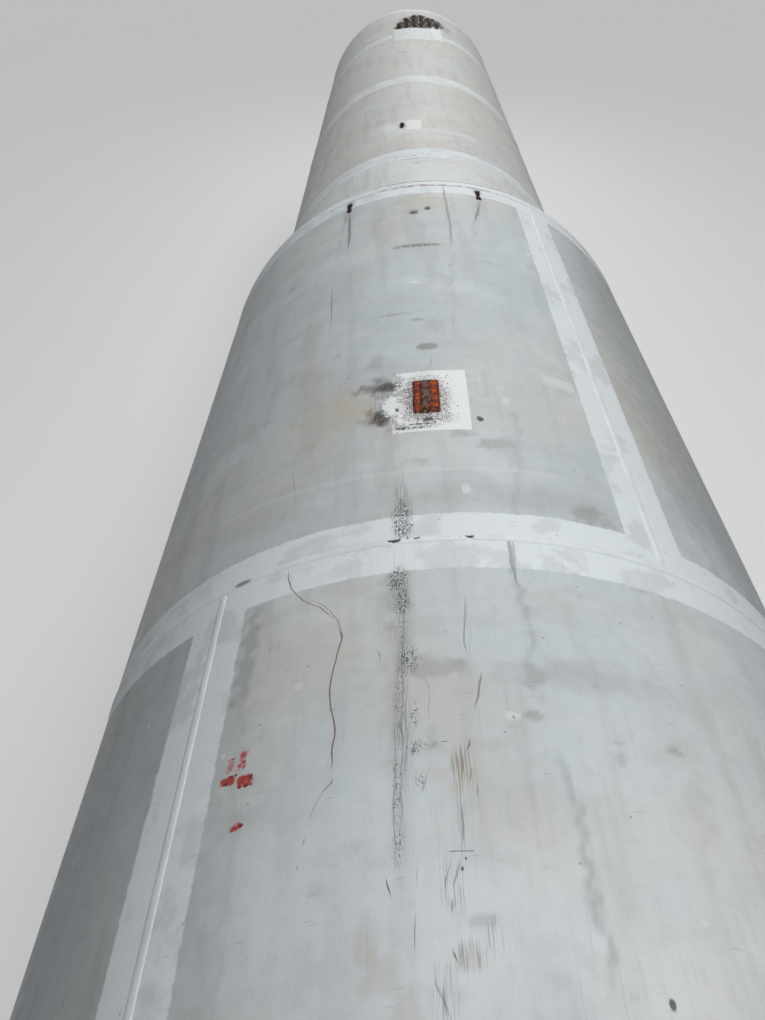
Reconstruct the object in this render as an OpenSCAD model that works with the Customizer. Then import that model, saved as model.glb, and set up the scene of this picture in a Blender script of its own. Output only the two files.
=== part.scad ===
// Horizontal pressure tank on two saddles.
// The vessel's axis lies along Y, with the wide end towards -Y.
// The origin is on the floor, under the middle of the vessel's whole length.

/* [Vessel] */
// Outside diameter of the wide courses
wide_od = 2500; // [2350:10:2600]
// Plate thickness of the wide courses
wide_wall = 14; // [10:1:20]
// Length of each of the two wide courses
wide_course_len = 2900; // [2400:10:3200]
// Outside diameter of the narrow courses
narrow_od = 2140; // [2000:10:2200]
// Plate thickness of the narrow courses
narrow_wall = 12; // [8:1:16]
// Length of the short course beside the cone
short_course_len = 760; // [600:10:1000]
// Length of each of the two full narrow courses
narrow_course_len = 2240; // [2000:10:2600]
// Length of the last narrow course
last_course_len = 1700; // [1500:10:2200]
// Height of the vessel's axis above the floor
axis_height = 1750; // [1700:10:2000]

/* [Heads] */
// Plate thickness of both heads
head_wall = 16; // [12:1:22]
// Straight flange of each head
head_flange = 50; // [30:5:80]
// Crown radius of a head as a share of its outside diameter
crown_ratio = 0.9; // [0.8:0.05:1]
// Knuckle radius of a head as a share of its outside diameter
knuckle_ratio = 0.17; // [0.12:0.01:0.2]

/* [Cone between the diameters] */
// Plate thickness of the cone
cone_wall = 16; // [12:1:20]
// Half angle of the cone
cone_angle = 30; // [24:1:40]
// Radius of the rounded shoulder at the cone's wide end
shoulder_radius = 150; // [120:5:200]
// Radius of the flare at the cone's narrow end
flare_radius = 130; // [100:5:180]
// Straight flange at both ends of the cone
cone_flange = 50; // [30:5:80]

/* [Welds] */
// Gap between two plates that a weld fills
weld_root = 4; // [2:1:8]
// Width of the bead on the outside
bead_width = 24; // [16:1:32]
// Height of the bead above the plate
bead_height = 3; // [2:0.5:5]
// Angle of the lengthwise weld of the first wide course, from the top
wide_1_seam_angle = -34.5; // [-60:0.5:-20]
// Angle of the lengthwise weld of the second wide course, from the top
wide_2_seam_angle = 25; // [20:0.5:60]
// Angle of the lengthwise welds of the narrow courses, to either side of the top
narrow_seam_angle = 100; // [80:1:104]

/* [Manway in the wide head] */
// Outside diameter of the manway's neck
manway_neck_od = 508; // [480:2:560]
// Wall thickness of the manway's neck
manway_neck_wall = 14; // [10:1:20]
// Outside diameter of the manway's flange and cover
manway_flange_od = 730; // [710:5:800]
// Thickness of the manway's flange
manway_flange_t = 48; // [36:2:60]
// Thickness of the manway's cover
manway_cover_t = 50; // [40:2:60]
// Thickness of the gasket under the cover
gasket_t = 3; // [2:0.5:5]
// Diameter of the circle of manway bolts
manway_bolt_circle = 660; // [640:5:680]
// Diameter of each manway bolt hole
manway_bolt_hole = 36; // [30:1:39]
// Number of manway bolts
manway_bolts = 20; // [12:4:24]
// Distance from the crown of the head to the face of the manway's flange
manway_reach = 190; // [160:5:260]
// Outside diameter of the reinforcing pad round the manway's neck
manway_pad_od = 860; // [760:10:960]
// Thickness of the reinforcing pad
manway_pad_t = 14; // [10:1:20]

/* [Bottom nozzles] */
// Outside diameter of the outlet's neck
outlet_od = 88.9; // [76.1:0.1:114.3]
// Wall thickness of the outlet's neck
outlet_wall = 8; // [5:0.5:10]
// Outside diameter of the outlet's flange
outlet_flange_od = 200; // [195:5:235]
// Diameter of the outlet's bolt circle
outlet_bolt_circle = 160; // [155:5:170]
// Number of bolt holes in the outlet's flange
outlet_bolts = 8; // [4:4:8]
// Outside diameter of the drain's neck
drain_od = 60.3; // [48.3:0.1:73]
// Wall thickness of the drain's neck
drain_wall = 6; // [4:0.5:8]
// Outside diameter of the drain's flange
drain_flange_od = 165; // [160:5:180]
// Diameter of the drain's bolt circle
drain_bolt_circle = 125; // [120:1:132]
// Number of bolt holes in the drain's flange
drain_bolts = 4; // [4:4:8]
// Diameter of the bolt holes in both flanges
nozzle_bolt_hole = 18; // [14:1:20]
// Thickness of both flanges
nozzle_flange_t = 24; // [18:1:28]
// Distance from the shell's bottom to the flange faces
nozzle_reach = 150; // [120:5:190]
// Distance of the drain from the weld at the cone
drain_from_cone = 350; // [250:10:500]
// Distance between the outlet and the drain
nozzle_pitch = 450; // [400:10:800]

/* [Saddles] */
// Angle of shell that each saddle holds
saddle_angle = 120; // [110:1:130]
// How far the wear plate runs past the saddle at each end, in degrees
wear_overlap = 6; // [4:1:8]
// Thickness of the wear plates
wear_t = 12; // [8:1:16]
// Width of the wear plates along the vessel
wear_width = 420; // [380:10:500]
// Thickness of the upright web
web_t = 16; // [12:1:20]
// Thickness of the ribs
rib_t = 14; // [10:1:20]
// Number of ribs on each side of a web
rib_count = 5; // [4:1:7]
// Width of ribs and web together, along the vessel
rib_span = 300; // [260:10:320]
// How far the base plates run past the web at each end
base_margin = 30; // [15:5:60]
// Thickness of the base plates
base_t = 22; // [16:1:30]
// Width of the base plates along the vessel
base_width = 380; // [360:10:440]
// Distance of the wide saddle from the weld of the wide head
wide_saddle_from_weld = 1450; // [1200:10:1600]
// Distance of the narrow saddle from the weld of the narrow head
narrow_saddle_from_weld = 2820; // [2600:10:3000]
// Diameter of the anchor holes
anchor_hole = 30; // [24:1:36]
// Length of the anchor slots in the narrow saddle's base plate
anchor_slot = 70; // [60:2:90]
// Distance between anchor holes along the vessel
anchor_pitch = 240; // [200:10:250]
// Distance of the anchor holes from each end of a base plate
anchor_edge = 120; // [100:5:140]

/* [Cut-off brackets] */
// Width of the pad under the cut lug on the wide shell
lug_pad_width = 80; // [60:5:160]
// Length of the pad along the vessel
lug_pad_len = 190; // [180:5:300]
// Thickness of the pad
lug_pad_t = 8; // [5:1:12]
// Thickness of the stump that was left of the lug
lug_stump_t = 28; // [16:1:30]
// Length of that stump along the vessel
lug_stump_len = 165; // [120:5:180]
// Height of that stump above its pad
lug_stump_h = 7; // [4:1:20]
// Angle of the lug from the top
lug_angle = -5.3; // [-12:0.1:-2]
// Distance of the lug from the weld between the wide courses
lug_from_weld = 720; // [600:5:900]
// Angle of the left bracket stump at the cone, from the top
left_stump_angle = -22; // [-30:0.5:-15]
// Angle of the right bracket stump at the cone, from the top
right_stump_angle = 10.4; // [6:0.2:15]
// Distance of both stumps from the weld at the cone
stump_from_weld = 115; // [105:5:250]
// Length of each stump
stump_len = 130; // [60:5:160]
// Width of each stump
stump_width = 32; // [20:1:60]
// Height of each stump above the shell
stump_h = 9; // [5:1:20]
// Angle of the small stump on the first narrow course, from the top
small_stump_angle = -9; // [-14:0.5:-4]
// Distance of that stump from the weld at the short course
small_stump_from_weld = 735; // [500:5:900]
// Width of the doubler plate on the last two courses
doubler_width = 430; // [380:10:560]
// Length of the doubler plate along the vessel
doubler_len = 700; // [600:10:900]
// Thickness of the doubler plate
doubler_t = 8; // [6:1:12]
// Angle of the doubler plate from the top
doubler_angle = -1.5; // [-8:0.5:8]
// How far the doubler plate reaches back over the weld before the last course
doubler_lap = 340; // [150:10:400]
// Room round the weld's bead in the groove under the doubler plate
groove_clearance = 0.5; // [0.3:0.1:2]
// Number of torn remains of the bracket beyond the doubler plate
remains_count = 6; // [3:1:8]
// Angle between two of these remains
remains_pitch = 4.8; // [4:0.2:7]
// Angle of the row of remains from the top
remains_angle = 2.5; // [-5:0.5:5]
// Width of each of the remains
remains_width = 56; // [30:2:70]
// Length of the first and the last of the remains
remains_end_len = 350; // [200:10:500]
// Length of the remains in the middle of the row
remains_mid_len = 800; // [400:10:1000]
// How much further along the vessel the last of the remains starts than the first
remains_skew = 140; // [0:10:250]
// Height of the highest of these remains
remains_h = 16; // [10:1:30]
// Distance from the doubler plate to the first of the remains
remains_from_doubler = 50; // [20:5:100]

/* [Hidden] */

seat = 0.3;              // clearance between curved faces that seat on each other
arc_steps = 10;          // straight steps in each arc of a head's profile
$fn = 180;
fine_fn = 720;           // for the large circle that a small plate is cut to

wide_r = wide_od / 2;
narrow_r = narrow_od / 2;

// Stations along the axis, from the weld of the wide head
s_wide_head = 0;
s_wide = s_wide_head + wide_course_len;
s_cone_wide = s_wide + wide_course_len;
cone_drop = wide_r - narrow_r;
slope_drop = cone_drop - (shoulder_radius + flare_radius) * (1 - cos(cone_angle));
slope_len = slope_drop / tan(cone_angle);
cone_len = 2 * cone_flange + (shoulder_radius + flare_radius) * sin(cone_angle) + slope_len;
s_cone_narrow = s_cone_wide + cone_len;
s_short = s_cone_narrow + short_course_len;
s_narrow_1 = s_short + narrow_course_len;
s_narrow_2 = s_narrow_1 + narrow_course_len;
s_narrow_head = s_narrow_2 + last_course_len;

// Depth of a dished head beyond its straight flange
function crown_drop(od) = let (r = od / 2, crown = crown_ratio * od, knuckle = knuckle_ratio * od)
    sqrt(pow(crown - knuckle, 2) - pow(r - knuckle, 2));
function dish_depth(od) = crown_ratio * od - crown_drop(od);

crown_s = s_wide_head - head_flange - dish_depth(wide_od);
manway_face = crown_s - manway_reach;
s_first = manway_face - gasket_t - manway_cover_t;
s_last = s_narrow_head + head_flange + dish_depth(narrow_od);
s_mid = (s_first + s_last) / 2;

shell_grey = [0.80, 0.82, 0.84];
cone_white = [0.86, 0.88, 0.90];
narrow_grey = [0.83, 0.82, 0.79];
weld_white = [0.93, 0.94, 0.95];
saddle_grey = [0.60, 0.61, 0.62];
rust_brown = [0.55, 0.33, 0.20];

// Puts a shape drawn round Z at station s of the vessel's axis; its own -Y then points up
module on_axis(s) {
    translate([0, s - s_mid, axis_height]) rotate([-90, 0, 0]) children();
}

// Puts a shape at station s with its +Z pointing out of the shell at an angle from the top
module on_shell(s, angle) {
    translate([0, s - s_mid, axis_height]) rotate([0, angle, 0]) children();
}

// One rolled course, with the slot that its lengthwise weld fills
module course(od, wall, s_from, s_to, seam_angle) {
    difference() {
        on_axis(s_from + weld_root / 2)
            difference() {
                cylinder(h = s_to - s_from - weld_root, d = od);
                translate([0, 0, -1]) cylinder(h = s_to - s_from, d = od - 2 * wall);
            }
        on_shell((s_from + s_to) / 2, seam_angle)
            translate([-weld_root / 2, -(s_to - s_from) / 2, od / 2 - 2 * wall])
                cube([weld_root, s_to - s_from, 3 * wall]);
    }
}

// Profile of a dished head, from a hole in its crown to its open edge
function head_arc(od, inset, last_angle) =
    let (r = od / 2, crown = crown_ratio * od, knuckle = knuckle_ratio * od,
        join = asin((r - knuckle) / (crown - knuckle)))
    concat(
        [for (i = [0 : arc_steps]) let (a = 90 - (90 - join) * i / arc_steps)
            [r - knuckle + (knuckle - inset) * sin(a), (knuckle - inset) * cos(a)]],
        [for (i = [1 : arc_steps]) let (a = join + (last_angle - join) * i / arc_steps)
            [(crown - inset) * sin(a), (crown - inset) * cos(a) - crown_drop(od)]]);

module dished_head(od, wall, hole_r) {
    outer_last = asin(hole_r / (crown_ratio * od));
    inner_last = asin(hole_r / (crown_ratio * od - wall));
    outer = head_arc(od, 0, outer_last);
    inner = head_arc(od, wall, inner_last);
    rotate_extrude()
        translate([0, head_flange])
            polygon(concat([[od / 2, weld_root / 2 - head_flange]], outer,
                [for (i = [len(inner) - 1 : -1 : 0]) inner[i]],
                [[od / 2 - wall, weld_root / 2 - head_flange]]));
}

// Cross-section of a bead, from the shell's face outwards; x is across the weld
function bead_arc(steps) =
    [for (i = [0 : steps]) let (a = 180 * i / steps)
        [-bead_width / 2 * cos(a), seat + bead_height * sin(a)]];

module ring_weld(od, wall, s) {
    on_axis(s) rotate_extrude()
        polygon(concat(
            [[od / 2 - wall, weld_root / 2], [od / 2 - wall, -weld_root / 2],
                [od / 2 + seat, -weld_root / 2]],
            [for (p = bead_arc(6)) [od / 2 + p[1], p[0]]],
            [[od / 2 + seat, weld_root / 2]]));
}

// Lengthwise weld: the root runs to the ring welds, the bead stops beside theirs
module seam_weld(od, wall, s_from, s_to, seam_angle) {
    root_len = s_to - s_from - weld_root;
    bead_len = s_to - s_from - bead_width - 2 * seat;
    on_shell((s_from + s_to) / 2, seam_angle) {
        translate([-weld_root / 2, -root_len / 2, od / 2 - wall])
            cube([weld_root, root_len, wall]);
        translate([-weld_root / 2, -bead_len / 2, od / 2 - wall])
            cube([weld_root, bead_len, wall + seat + bead_height / 2]);
        translate([0, bead_len / 2, od / 2])
            rotate([90, 0, 0]) linear_extrude(bead_len) polygon(bead_arc(8));
    }
}

module wide_head() {
    color(shell_grey) on_axis(s_wide_head) mirror([0, 0, 1])
        dished_head(wide_od, head_wall, manway_neck_od / 2 + seat);
}

module wide_course_1() {
    color(shell_grey) course(wide_od, wide_wall, s_wide_head, s_wide, wide_1_seam_angle);
}

module wide_course_2() {
    color(shell_grey) difference() {
        course(wide_od, wide_wall, s_wide, s_cone_wide, wide_2_seam_angle);
        nozzle_bore(outlet_s, outlet_od / 2 + seat);
        nozzle_bore(drain_s, drain_od / 2 + seat);
    }
}

// Cone with a rounded shoulder, a straight slope and a flare
function cone_arc(inset) = let (shoulder = shoulder_radius - inset, flare = flare_radius + inset)
    concat(
        [[wide_r - inset, weld_root / 2]],
        [for (i = [0 : arc_steps]) let (a = cone_angle * i / arc_steps)
            [wide_r - shoulder_radius + shoulder * cos(a), cone_flange + shoulder * sin(a)]],
        [for (i = [arc_steps : -1 : 0]) let (a = cone_angle * i / arc_steps)
            [narrow_r + flare_radius - flare * cos(a), cone_len - cone_flange - flare * sin(a)]],
        [[narrow_r - inset, cone_len - weld_root / 2]]);

module cone() {
    inner = cone_arc(cone_wall);
    color(cone_white) on_axis(s_cone_wide) rotate_extrude()
        polygon(concat(cone_arc(0), [for (i = [len(inner) - 1 : -1 : 0]) inner[i]]));
}

module short_course() {
    color(cone_white) course(narrow_od, narrow_wall, s_cone_narrow, s_short, -narrow_seam_angle);
}

module narrow_course_1() {
    color(narrow_grey) course(narrow_od, narrow_wall, s_short, s_narrow_1, narrow_seam_angle);
}

module narrow_course_2() {
    color(narrow_grey) course(narrow_od, narrow_wall, s_narrow_1, s_narrow_2, -narrow_seam_angle);
}

module narrow_course_3() {
    color(narrow_grey) course(narrow_od, narrow_wall, s_narrow_2, s_narrow_head, narrow_seam_angle);
}

module narrow_head() {
    color(narrow_grey) on_axis(s_narrow_head) dished_head(narrow_od, head_wall, 0);
}

module ring_weld_wide_head() {
    color(weld_white) ring_weld(wide_od, wide_wall, s_wide_head);
}

module ring_weld_wide() {
    color(weld_white) ring_weld(wide_od, wide_wall, s_wide);
}

module ring_weld_cone_wide() {
    color(weld_white) ring_weld(wide_od, wide_wall, s_cone_wide);
}

module ring_weld_cone_narrow() {
    color(weld_white) ring_weld(narrow_od, narrow_wall, s_cone_narrow);
}

module ring_weld_short() {
    color(weld_white) ring_weld(narrow_od, narrow_wall, s_short);
}

module ring_weld_narrow_1() {
    color(weld_white) ring_weld(narrow_od, narrow_wall, s_narrow_1);
}

module ring_weld_narrow_2() {
    color(weld_white) ring_weld(narrow_od, narrow_wall, s_narrow_2);
}

module ring_weld_narrow_head() {
    color(weld_white) ring_weld(narrow_od, narrow_wall, s_narrow_head);
}

module seam_wide_1() {
    color(weld_white) seam_weld(wide_od, wide_wall, s_wide_head, s_wide, wide_1_seam_angle);
}

module seam_wide_2() {
    color(weld_white) seam_weld(wide_od, wide_wall, s_wide, s_cone_wide, wide_2_seam_angle);
}

module seam_short() {
    color(weld_white) seam_weld(narrow_od, narrow_wall, s_cone_narrow, s_short, -narrow_seam_angle);
}

module seam_narrow_1() {
    color(weld_white) seam_weld(narrow_od, narrow_wall, s_short, s_narrow_1, narrow_seam_angle);
}

module seam_narrow_2() {
    color(weld_white)
        seam_weld(narrow_od, narrow_wall, s_narrow_1, s_narrow_2, -narrow_seam_angle);
}

module seam_narrow_3() {
    color(weld_white)
        seam_weld(narrow_od, narrow_wall, s_narrow_2, s_narrow_head, narrow_seam_angle);
}

// The pad follows the crown of the head, from the neck to its own rim
module manway_pad() {
    crown = crown_ratio * wide_od;
    inner = crown + seat;
    outer = crown + manway_pad_t;
    hole = manway_neck_od / 2 + seat;
    rim = manway_pad_od / 2;
    color(shell_grey) on_axis(s_wide_head) mirror([0, 0, 1]) rotate_extrude()
        translate([0, head_flange - crown_drop(wide_od)])
            polygon(concat(
                [for (i = [0 : arc_steps])
                    let (a = asin(hole / inner) + (asin(rim / inner) - asin(hole / inner)) * i / arc_steps)
                    [inner * sin(a), inner * cos(a)]],
                [for (i = [arc_steps : -1 : 0])
                    let (a = asin(hole / outer) + (asin(rim / outer) - asin(hole / outer)) * i / arc_steps)
                    [outer * sin(a), outer * cos(a)]]));
}

// How far the neck reaches inside the head, how far it stops short of the flange's face,
// and the gasket's distance from the bolt holes
neck_inside = 40;
neck_setback = 8;
gasket_margin = 5;

module manway_neck() {
    neck_len = manway_reach - neck_setback + neck_inside + head_wall;
    color(shell_grey) on_axis(manway_face + neck_setback) difference() {
        cylinder(h = neck_len, d = manway_neck_od);
        translate([0, 0, -1]) cylinder(h = neck_len + 2, d = manway_neck_od - 2 * manway_neck_wall);
    }
}

module bolt_holes(circle_d, count, hole_d, depth) {
    for (i = [0 : count - 1])
        rotate([0, 0, 360 * (i + 0.5) / count])
            translate([circle_d / 2, 0, -1]) cylinder(h = depth + 2, d = hole_d);
}

module manway_flange() {
    color(shell_grey) on_axis(manway_face) difference() {
        cylinder(h = manway_flange_t, d = manway_flange_od);
        translate([0, 0, -1]) cylinder(h = manway_flange_t + 2, d = manway_neck_od + 2 * seat);
        bolt_holes(manway_bolt_circle, manway_bolts, manway_bolt_hole, manway_flange_t);
    }
}

module manway_gasket() {
    color([0.2, 0.2, 0.2]) on_axis(manway_face - gasket_t) difference() {
        cylinder(h = gasket_t, d = manway_bolt_circle - manway_bolt_hole - 2 * gasket_margin);
        translate([0, 0, -1]) cylinder(h = gasket_t + 2, d = manway_neck_od + 2 * seat);
    }
}

module manway_cover() {
    color(shell_grey) on_axis(manway_face - gasket_t - manway_cover_t) difference() {
        cylinder(h = manway_cover_t, d = manway_flange_od);
        bolt_holes(manway_bolt_circle, manway_bolts, manway_bolt_hole, manway_cover_t);
    }
}

// Bottom nozzles: the necks pass through the shell and end just inside
drain_s = s_cone_wide - drain_from_cone;
outlet_s = drain_s - nozzle_pitch;
nozzle_inside = 20;
nozzle_setback = 5;

module nozzle_bore(s, r) {
    translate([0, s - s_mid, axis_height - wide_r - wide_wall]) cylinder(h = 4 * wide_wall, r = r);
}

module nozzle_neck(s, od, wall) {
    neck_len = nozzle_reach - nozzle_setback + wide_wall + nozzle_inside;
    translate([0, s - s_mid, axis_height - wide_r - nozzle_reach + nozzle_setback]) difference() {
        cylinder(h = neck_len, d = od);
        translate([0, 0, -1]) cylinder(h = neck_len + 2, d = od - 2 * wall);
    }
}

module nozzle_flange(s, neck_od, flange_od, bolt_circle, bolts) {
    translate([0, s - s_mid, axis_height - wide_r - nozzle_reach]) difference() {
        cylinder(h = nozzle_flange_t, d = flange_od);
        translate([0, 0, -1]) cylinder(h = nozzle_flange_t + 2, d = neck_od + 2 * seat);
        bolt_holes(bolt_circle, bolts, nozzle_bolt_hole, nozzle_flange_t);
    }
}

module outlet_neck() {
    color(shell_grey) nozzle_neck(outlet_s, outlet_od, outlet_wall);
}

module outlet_flange() {
    color(shell_grey)
        nozzle_flange(outlet_s, outlet_od, outlet_flange_od, outlet_bolt_circle, outlet_bolts);
}

module drain_neck() {
    color(shell_grey) nozzle_neck(drain_s, drain_od, drain_wall);
}

module drain_flange() {
    color(shell_grey)
        nozzle_flange(drain_s, drain_od, drain_flange_od, drain_bolt_circle, drain_bolts);
}

// Saddles: each web and its ribs end under the wear plate, and end level with its tips
wide_saddle_s = s_wide_head + wide_saddle_from_weld;
narrow_saddle_s = s_narrow_head - narrow_saddle_from_weld;
function cradle_r(od) = od / 2 + wear_t + 2 * seat;
function saddle_reach(od) = cradle_r(od) * sin(saddle_angle / 2);
function base_half_len(od) = saddle_reach(od) + base_margin;

module wear_plate(od, s) {
    arc = saddle_angle + 2 * wear_overlap;
    inner = od / 2 + seat;
    on_axis(s - wear_width / 2)
        rotate([0, 0, 90 - arc / 2]) rotate_extrude(angle = arc)
            translate([inner, 0]) square([wear_t, wear_width]);
}

// Removes everything inside the circle that the wear plate's outer face lies on
module cradle_cut(od, s) {
    on_axis(s - wear_width) cylinder(h = 2 * wear_width, r = cradle_r(od));
}

module saddle_web(od, s) {
    horn_z = axis_height - cradle_r(od) * cos(saddle_angle / 2);
    difference() {
        translate([-saddle_reach(od), s - s_mid - web_t / 2, base_t])
            cube([2 * saddle_reach(od), web_t, horn_z - base_t]);
        cradle_cut(od, s);
    }
}

// Ribs stand on both sides of the web, the outer ones under the ends of the cradle
module saddle_ribs(od, s) {
    reach = saddle_reach(od) - rib_t / 2;
    depth = (rib_span - web_t) / 2;
    difference() {
        for (i = [0 : rib_count - 1], side = [-1, 1])
            translate([reach * (2 * i / (rib_count - 1) - 1) - rib_t / 2,
                s - s_mid + side * (web_t + depth) / 2 - depth / 2, base_t])
                cube([rib_t, depth, axis_height - base_t]);
        cradle_cut(od, s);
    }
}

module base_plate(od, s, slot_len) {
    half_len = base_half_len(od);
    difference() {
        translate([-half_len, s - s_mid - base_width / 2, 0])
            cube([2 * half_len, base_width, base_t]);
        for (x = [-1, 1], y = [-1, 1])
            translate([x * (half_len - anchor_edge), s - s_mid + y * anchor_pitch / 2, -1])
                anchor_opening(slot_len);
    }
}

// A round hole, or a slot along the vessel that lets the shell grow
module anchor_opening(slot_len) {
    half = (slot_len - anchor_hole) / 2;
    if (half > 0) {
        for (y = [-half, half]) translate([0, y, 0]) cylinder(h = base_t + 2, d = anchor_hole);
        translate([-anchor_hole / 2, -half, 0]) cube([anchor_hole, 2 * half, base_t + 2]);
    } else {
        cylinder(h = base_t + 2, d = anchor_hole);
    }
}

module wide_wear_plate() {
    color(shell_grey) wear_plate(wide_od, wide_saddle_s);
}

module wide_saddle_web() {
    color(saddle_grey) saddle_web(wide_od, wide_saddle_s);
}

module wide_saddle_ribs() {
    color(saddle_grey) saddle_ribs(wide_od, wide_saddle_s);
}

module wide_base_plate() {
    color(saddle_grey) base_plate(wide_od, wide_saddle_s, 0);
}

module narrow_wear_plate() {
    color(narrow_grey) wear_plate(narrow_od, narrow_saddle_s);
}

module narrow_saddle_web() {
    color(saddle_grey) saddle_web(narrow_od, narrow_saddle_s);
}

module narrow_saddle_ribs() {
    color(saddle_grey) saddle_ribs(narrow_od, narrow_saddle_s);
}

module narrow_base_plate() {
    color(saddle_grey) base_plate(narrow_od, narrow_saddle_s, anchor_slot);
}

// A plate that follows the shell's curve: a block with the shell's cylinder taken out,
// and kept within a thickness of it
module curved_plate(od, s, angle, width, length, thickness) {
    intersection() {
        on_shell(s, angle) translate([-width / 2, -length / 2, od / 2 - width])
            cube([width, length, 2 * width]);
        on_axis(s - length) difference() {
            cylinder(h = 2 * length, r = od / 2 + seat + thickness, $fn = fine_fn);
            translate([0, 0, -1]) cylinder(h = 2 * length + 2, r = od / 2 + seat, $fn = fine_fn);
        }
    }
}

lug_s = s_wide + lug_from_weld;

module lug_pad() {
    color(rust_brown) curved_plate(wide_od, lug_s, lug_angle, lug_pad_width, lug_pad_len, lug_pad_t);
}

// The lug was burnt off just above its pad
module lug_stump() {
    color(rust_brown) difference() {
        on_shell(lug_s, lug_angle)
            translate([-lug_stump_t / 2, -lug_stump_len / 2, wide_r])
                cube([lug_stump_t, lug_stump_len, lug_pad_t + 2 * seat + lug_stump_h]);
        on_axis(lug_s - lug_pad_len)
            cylinder(h = 2 * lug_pad_len, r = wide_r + lug_pad_t + 2 * seat, $fn = fine_fn);
    }
}

module stump(od, s, angle, width, length, height) {
    difference() {
        on_shell(s, angle) translate([-width / 2, -length / 2, od / 2 - height])
            cube([width, length, 2 * height]);
        on_axis(s - length) cylinder(h = 2 * length, r = od / 2 + seat, $fn = fine_fn);
    }
}

module bracket_stumps() {
    stump_s = s_cone_wide - stump_from_weld;
    color(rust_brown) for (angle = [left_stump_angle, right_stump_angle])
        stump(wide_od, stump_s, angle, stump_width, stump_len, stump_h);
}

module small_stump() {
    color(rust_brown) stump(narrow_od, s_short + small_stump_from_weld, small_stump_angle,
        stump_width, stump_len, stump_h);
}

doubler_s = s_narrow_2 - doubler_lap;

// The plate lies over the weld of two courses, whose bead has a groove in its underside
module doubler_plate() {
    groove_half = bead_width / 2 + groove_clearance;
    color(narrow_grey) difference() {
        curved_plate(narrow_od, doubler_s + doubler_len / 2, doubler_angle, doubler_width,
            doubler_len, doubler_t);
        on_axis(s_narrow_2 - groove_half) cylinder(h = 2 * groove_half,
            r = narrow_od / 2 + seat + bead_height + groove_clearance, $fn = fine_fn);
    }
}

// Torn remains of a bracket that was burnt off: a row of stumps beyond the doubler plate, the
// middle ones the longest, each lower and starting further along than the one before it
module bracket_remains() {
    first_s = doubler_s + doubler_len + remains_from_doubler;
    color(rust_brown) for (i = [0 : remains_count - 1]) {
        way = 2 * i / (remains_count - 1) - 1;
        length = remains_end_len + (remains_mid_len - remains_end_len) * (1 - way * way);
        stump(narrow_od, first_s + remains_skew * (way + 1) / 2 + length / 2,
            remains_angle + way * remains_pitch * (remains_count - 1) / 2,
            remains_width, length, remains_h * (1 - i / remains_count / 2));
    }
}

wide_head();
wide_course_1();
wide_course_2();
cone();
short_course();
narrow_course_1();
narrow_course_2();
narrow_course_3();
narrow_head();
ring_weld_wide_head();
ring_weld_wide();
ring_weld_cone_wide();
ring_weld_cone_narrow();
ring_weld_short();
ring_weld_narrow_1();
ring_weld_narrow_2();
ring_weld_narrow_head();
seam_wide_1();
seam_wide_2();
seam_short();
seam_narrow_1();
seam_narrow_2();
seam_narrow_3();
manway_pad();
manway_neck();
manway_flange();
manway_gasket();
manway_cover();
outlet_neck();
outlet_flange();
drain_neck();
drain_flange();
wide_wear_plate();
wide_saddle_web();
wide_saddle_ribs();
wide_base_plate();
narrow_wear_plate();
narrow_saddle_web();
narrow_saddle_ribs();
narrow_base_plate();
lug_pad();
lug_stump();
bracket_stumps();
small_stump();
doubler_plate();
bracket_remains();
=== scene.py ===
import math

import bmesh
import bpy
import numpy as np
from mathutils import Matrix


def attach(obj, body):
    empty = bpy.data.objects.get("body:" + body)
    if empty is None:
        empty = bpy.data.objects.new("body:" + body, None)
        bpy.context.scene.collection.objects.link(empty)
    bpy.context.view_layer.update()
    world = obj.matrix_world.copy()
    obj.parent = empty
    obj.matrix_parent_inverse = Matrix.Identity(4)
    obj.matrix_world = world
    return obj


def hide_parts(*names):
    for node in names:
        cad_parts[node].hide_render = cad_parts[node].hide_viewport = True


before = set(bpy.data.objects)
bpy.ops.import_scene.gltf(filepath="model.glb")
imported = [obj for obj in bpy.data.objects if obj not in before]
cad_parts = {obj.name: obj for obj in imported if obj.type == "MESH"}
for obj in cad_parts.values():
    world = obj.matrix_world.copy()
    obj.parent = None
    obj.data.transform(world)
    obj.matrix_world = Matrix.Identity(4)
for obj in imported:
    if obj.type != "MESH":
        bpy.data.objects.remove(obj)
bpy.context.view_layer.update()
print("frame loaded")

# Main sizes of the vessel, in metres; y runs along its axis, and angles are measured from its top
vessel = dict(
    axisZ=1.75, wideRadius=1.25, wideWall=0.014, narrowRadius=1.07, narrowWall=0.012,
    headWall=0.016, headFlange=0.05, crownShare=0.9, knuckleShare=0.17, gap=0.004, seat=0.0003,
    manwayHole=0.2543,
)
wide, narrow = vessel["wideRadius"], vessel["narrowRadius"]
# Where the ring welds lie along the axis
weldAt = dict(
    wideHead=-6.4471, wide=-3.5471, coneWide=-0.6471, coneNarrow=-0.1603,
    short=0.5997, narrow1=2.8397, narrow2=5.0797, narrowHead=6.7797,
)
# Angles of the lengthwise welds, in degrees
seamAngle = dict(wide1=-34.5, wide2=25.0, short=-100.0, narrow1=100.0, narrow2=-100.0, narrow3=100.0)


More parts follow.
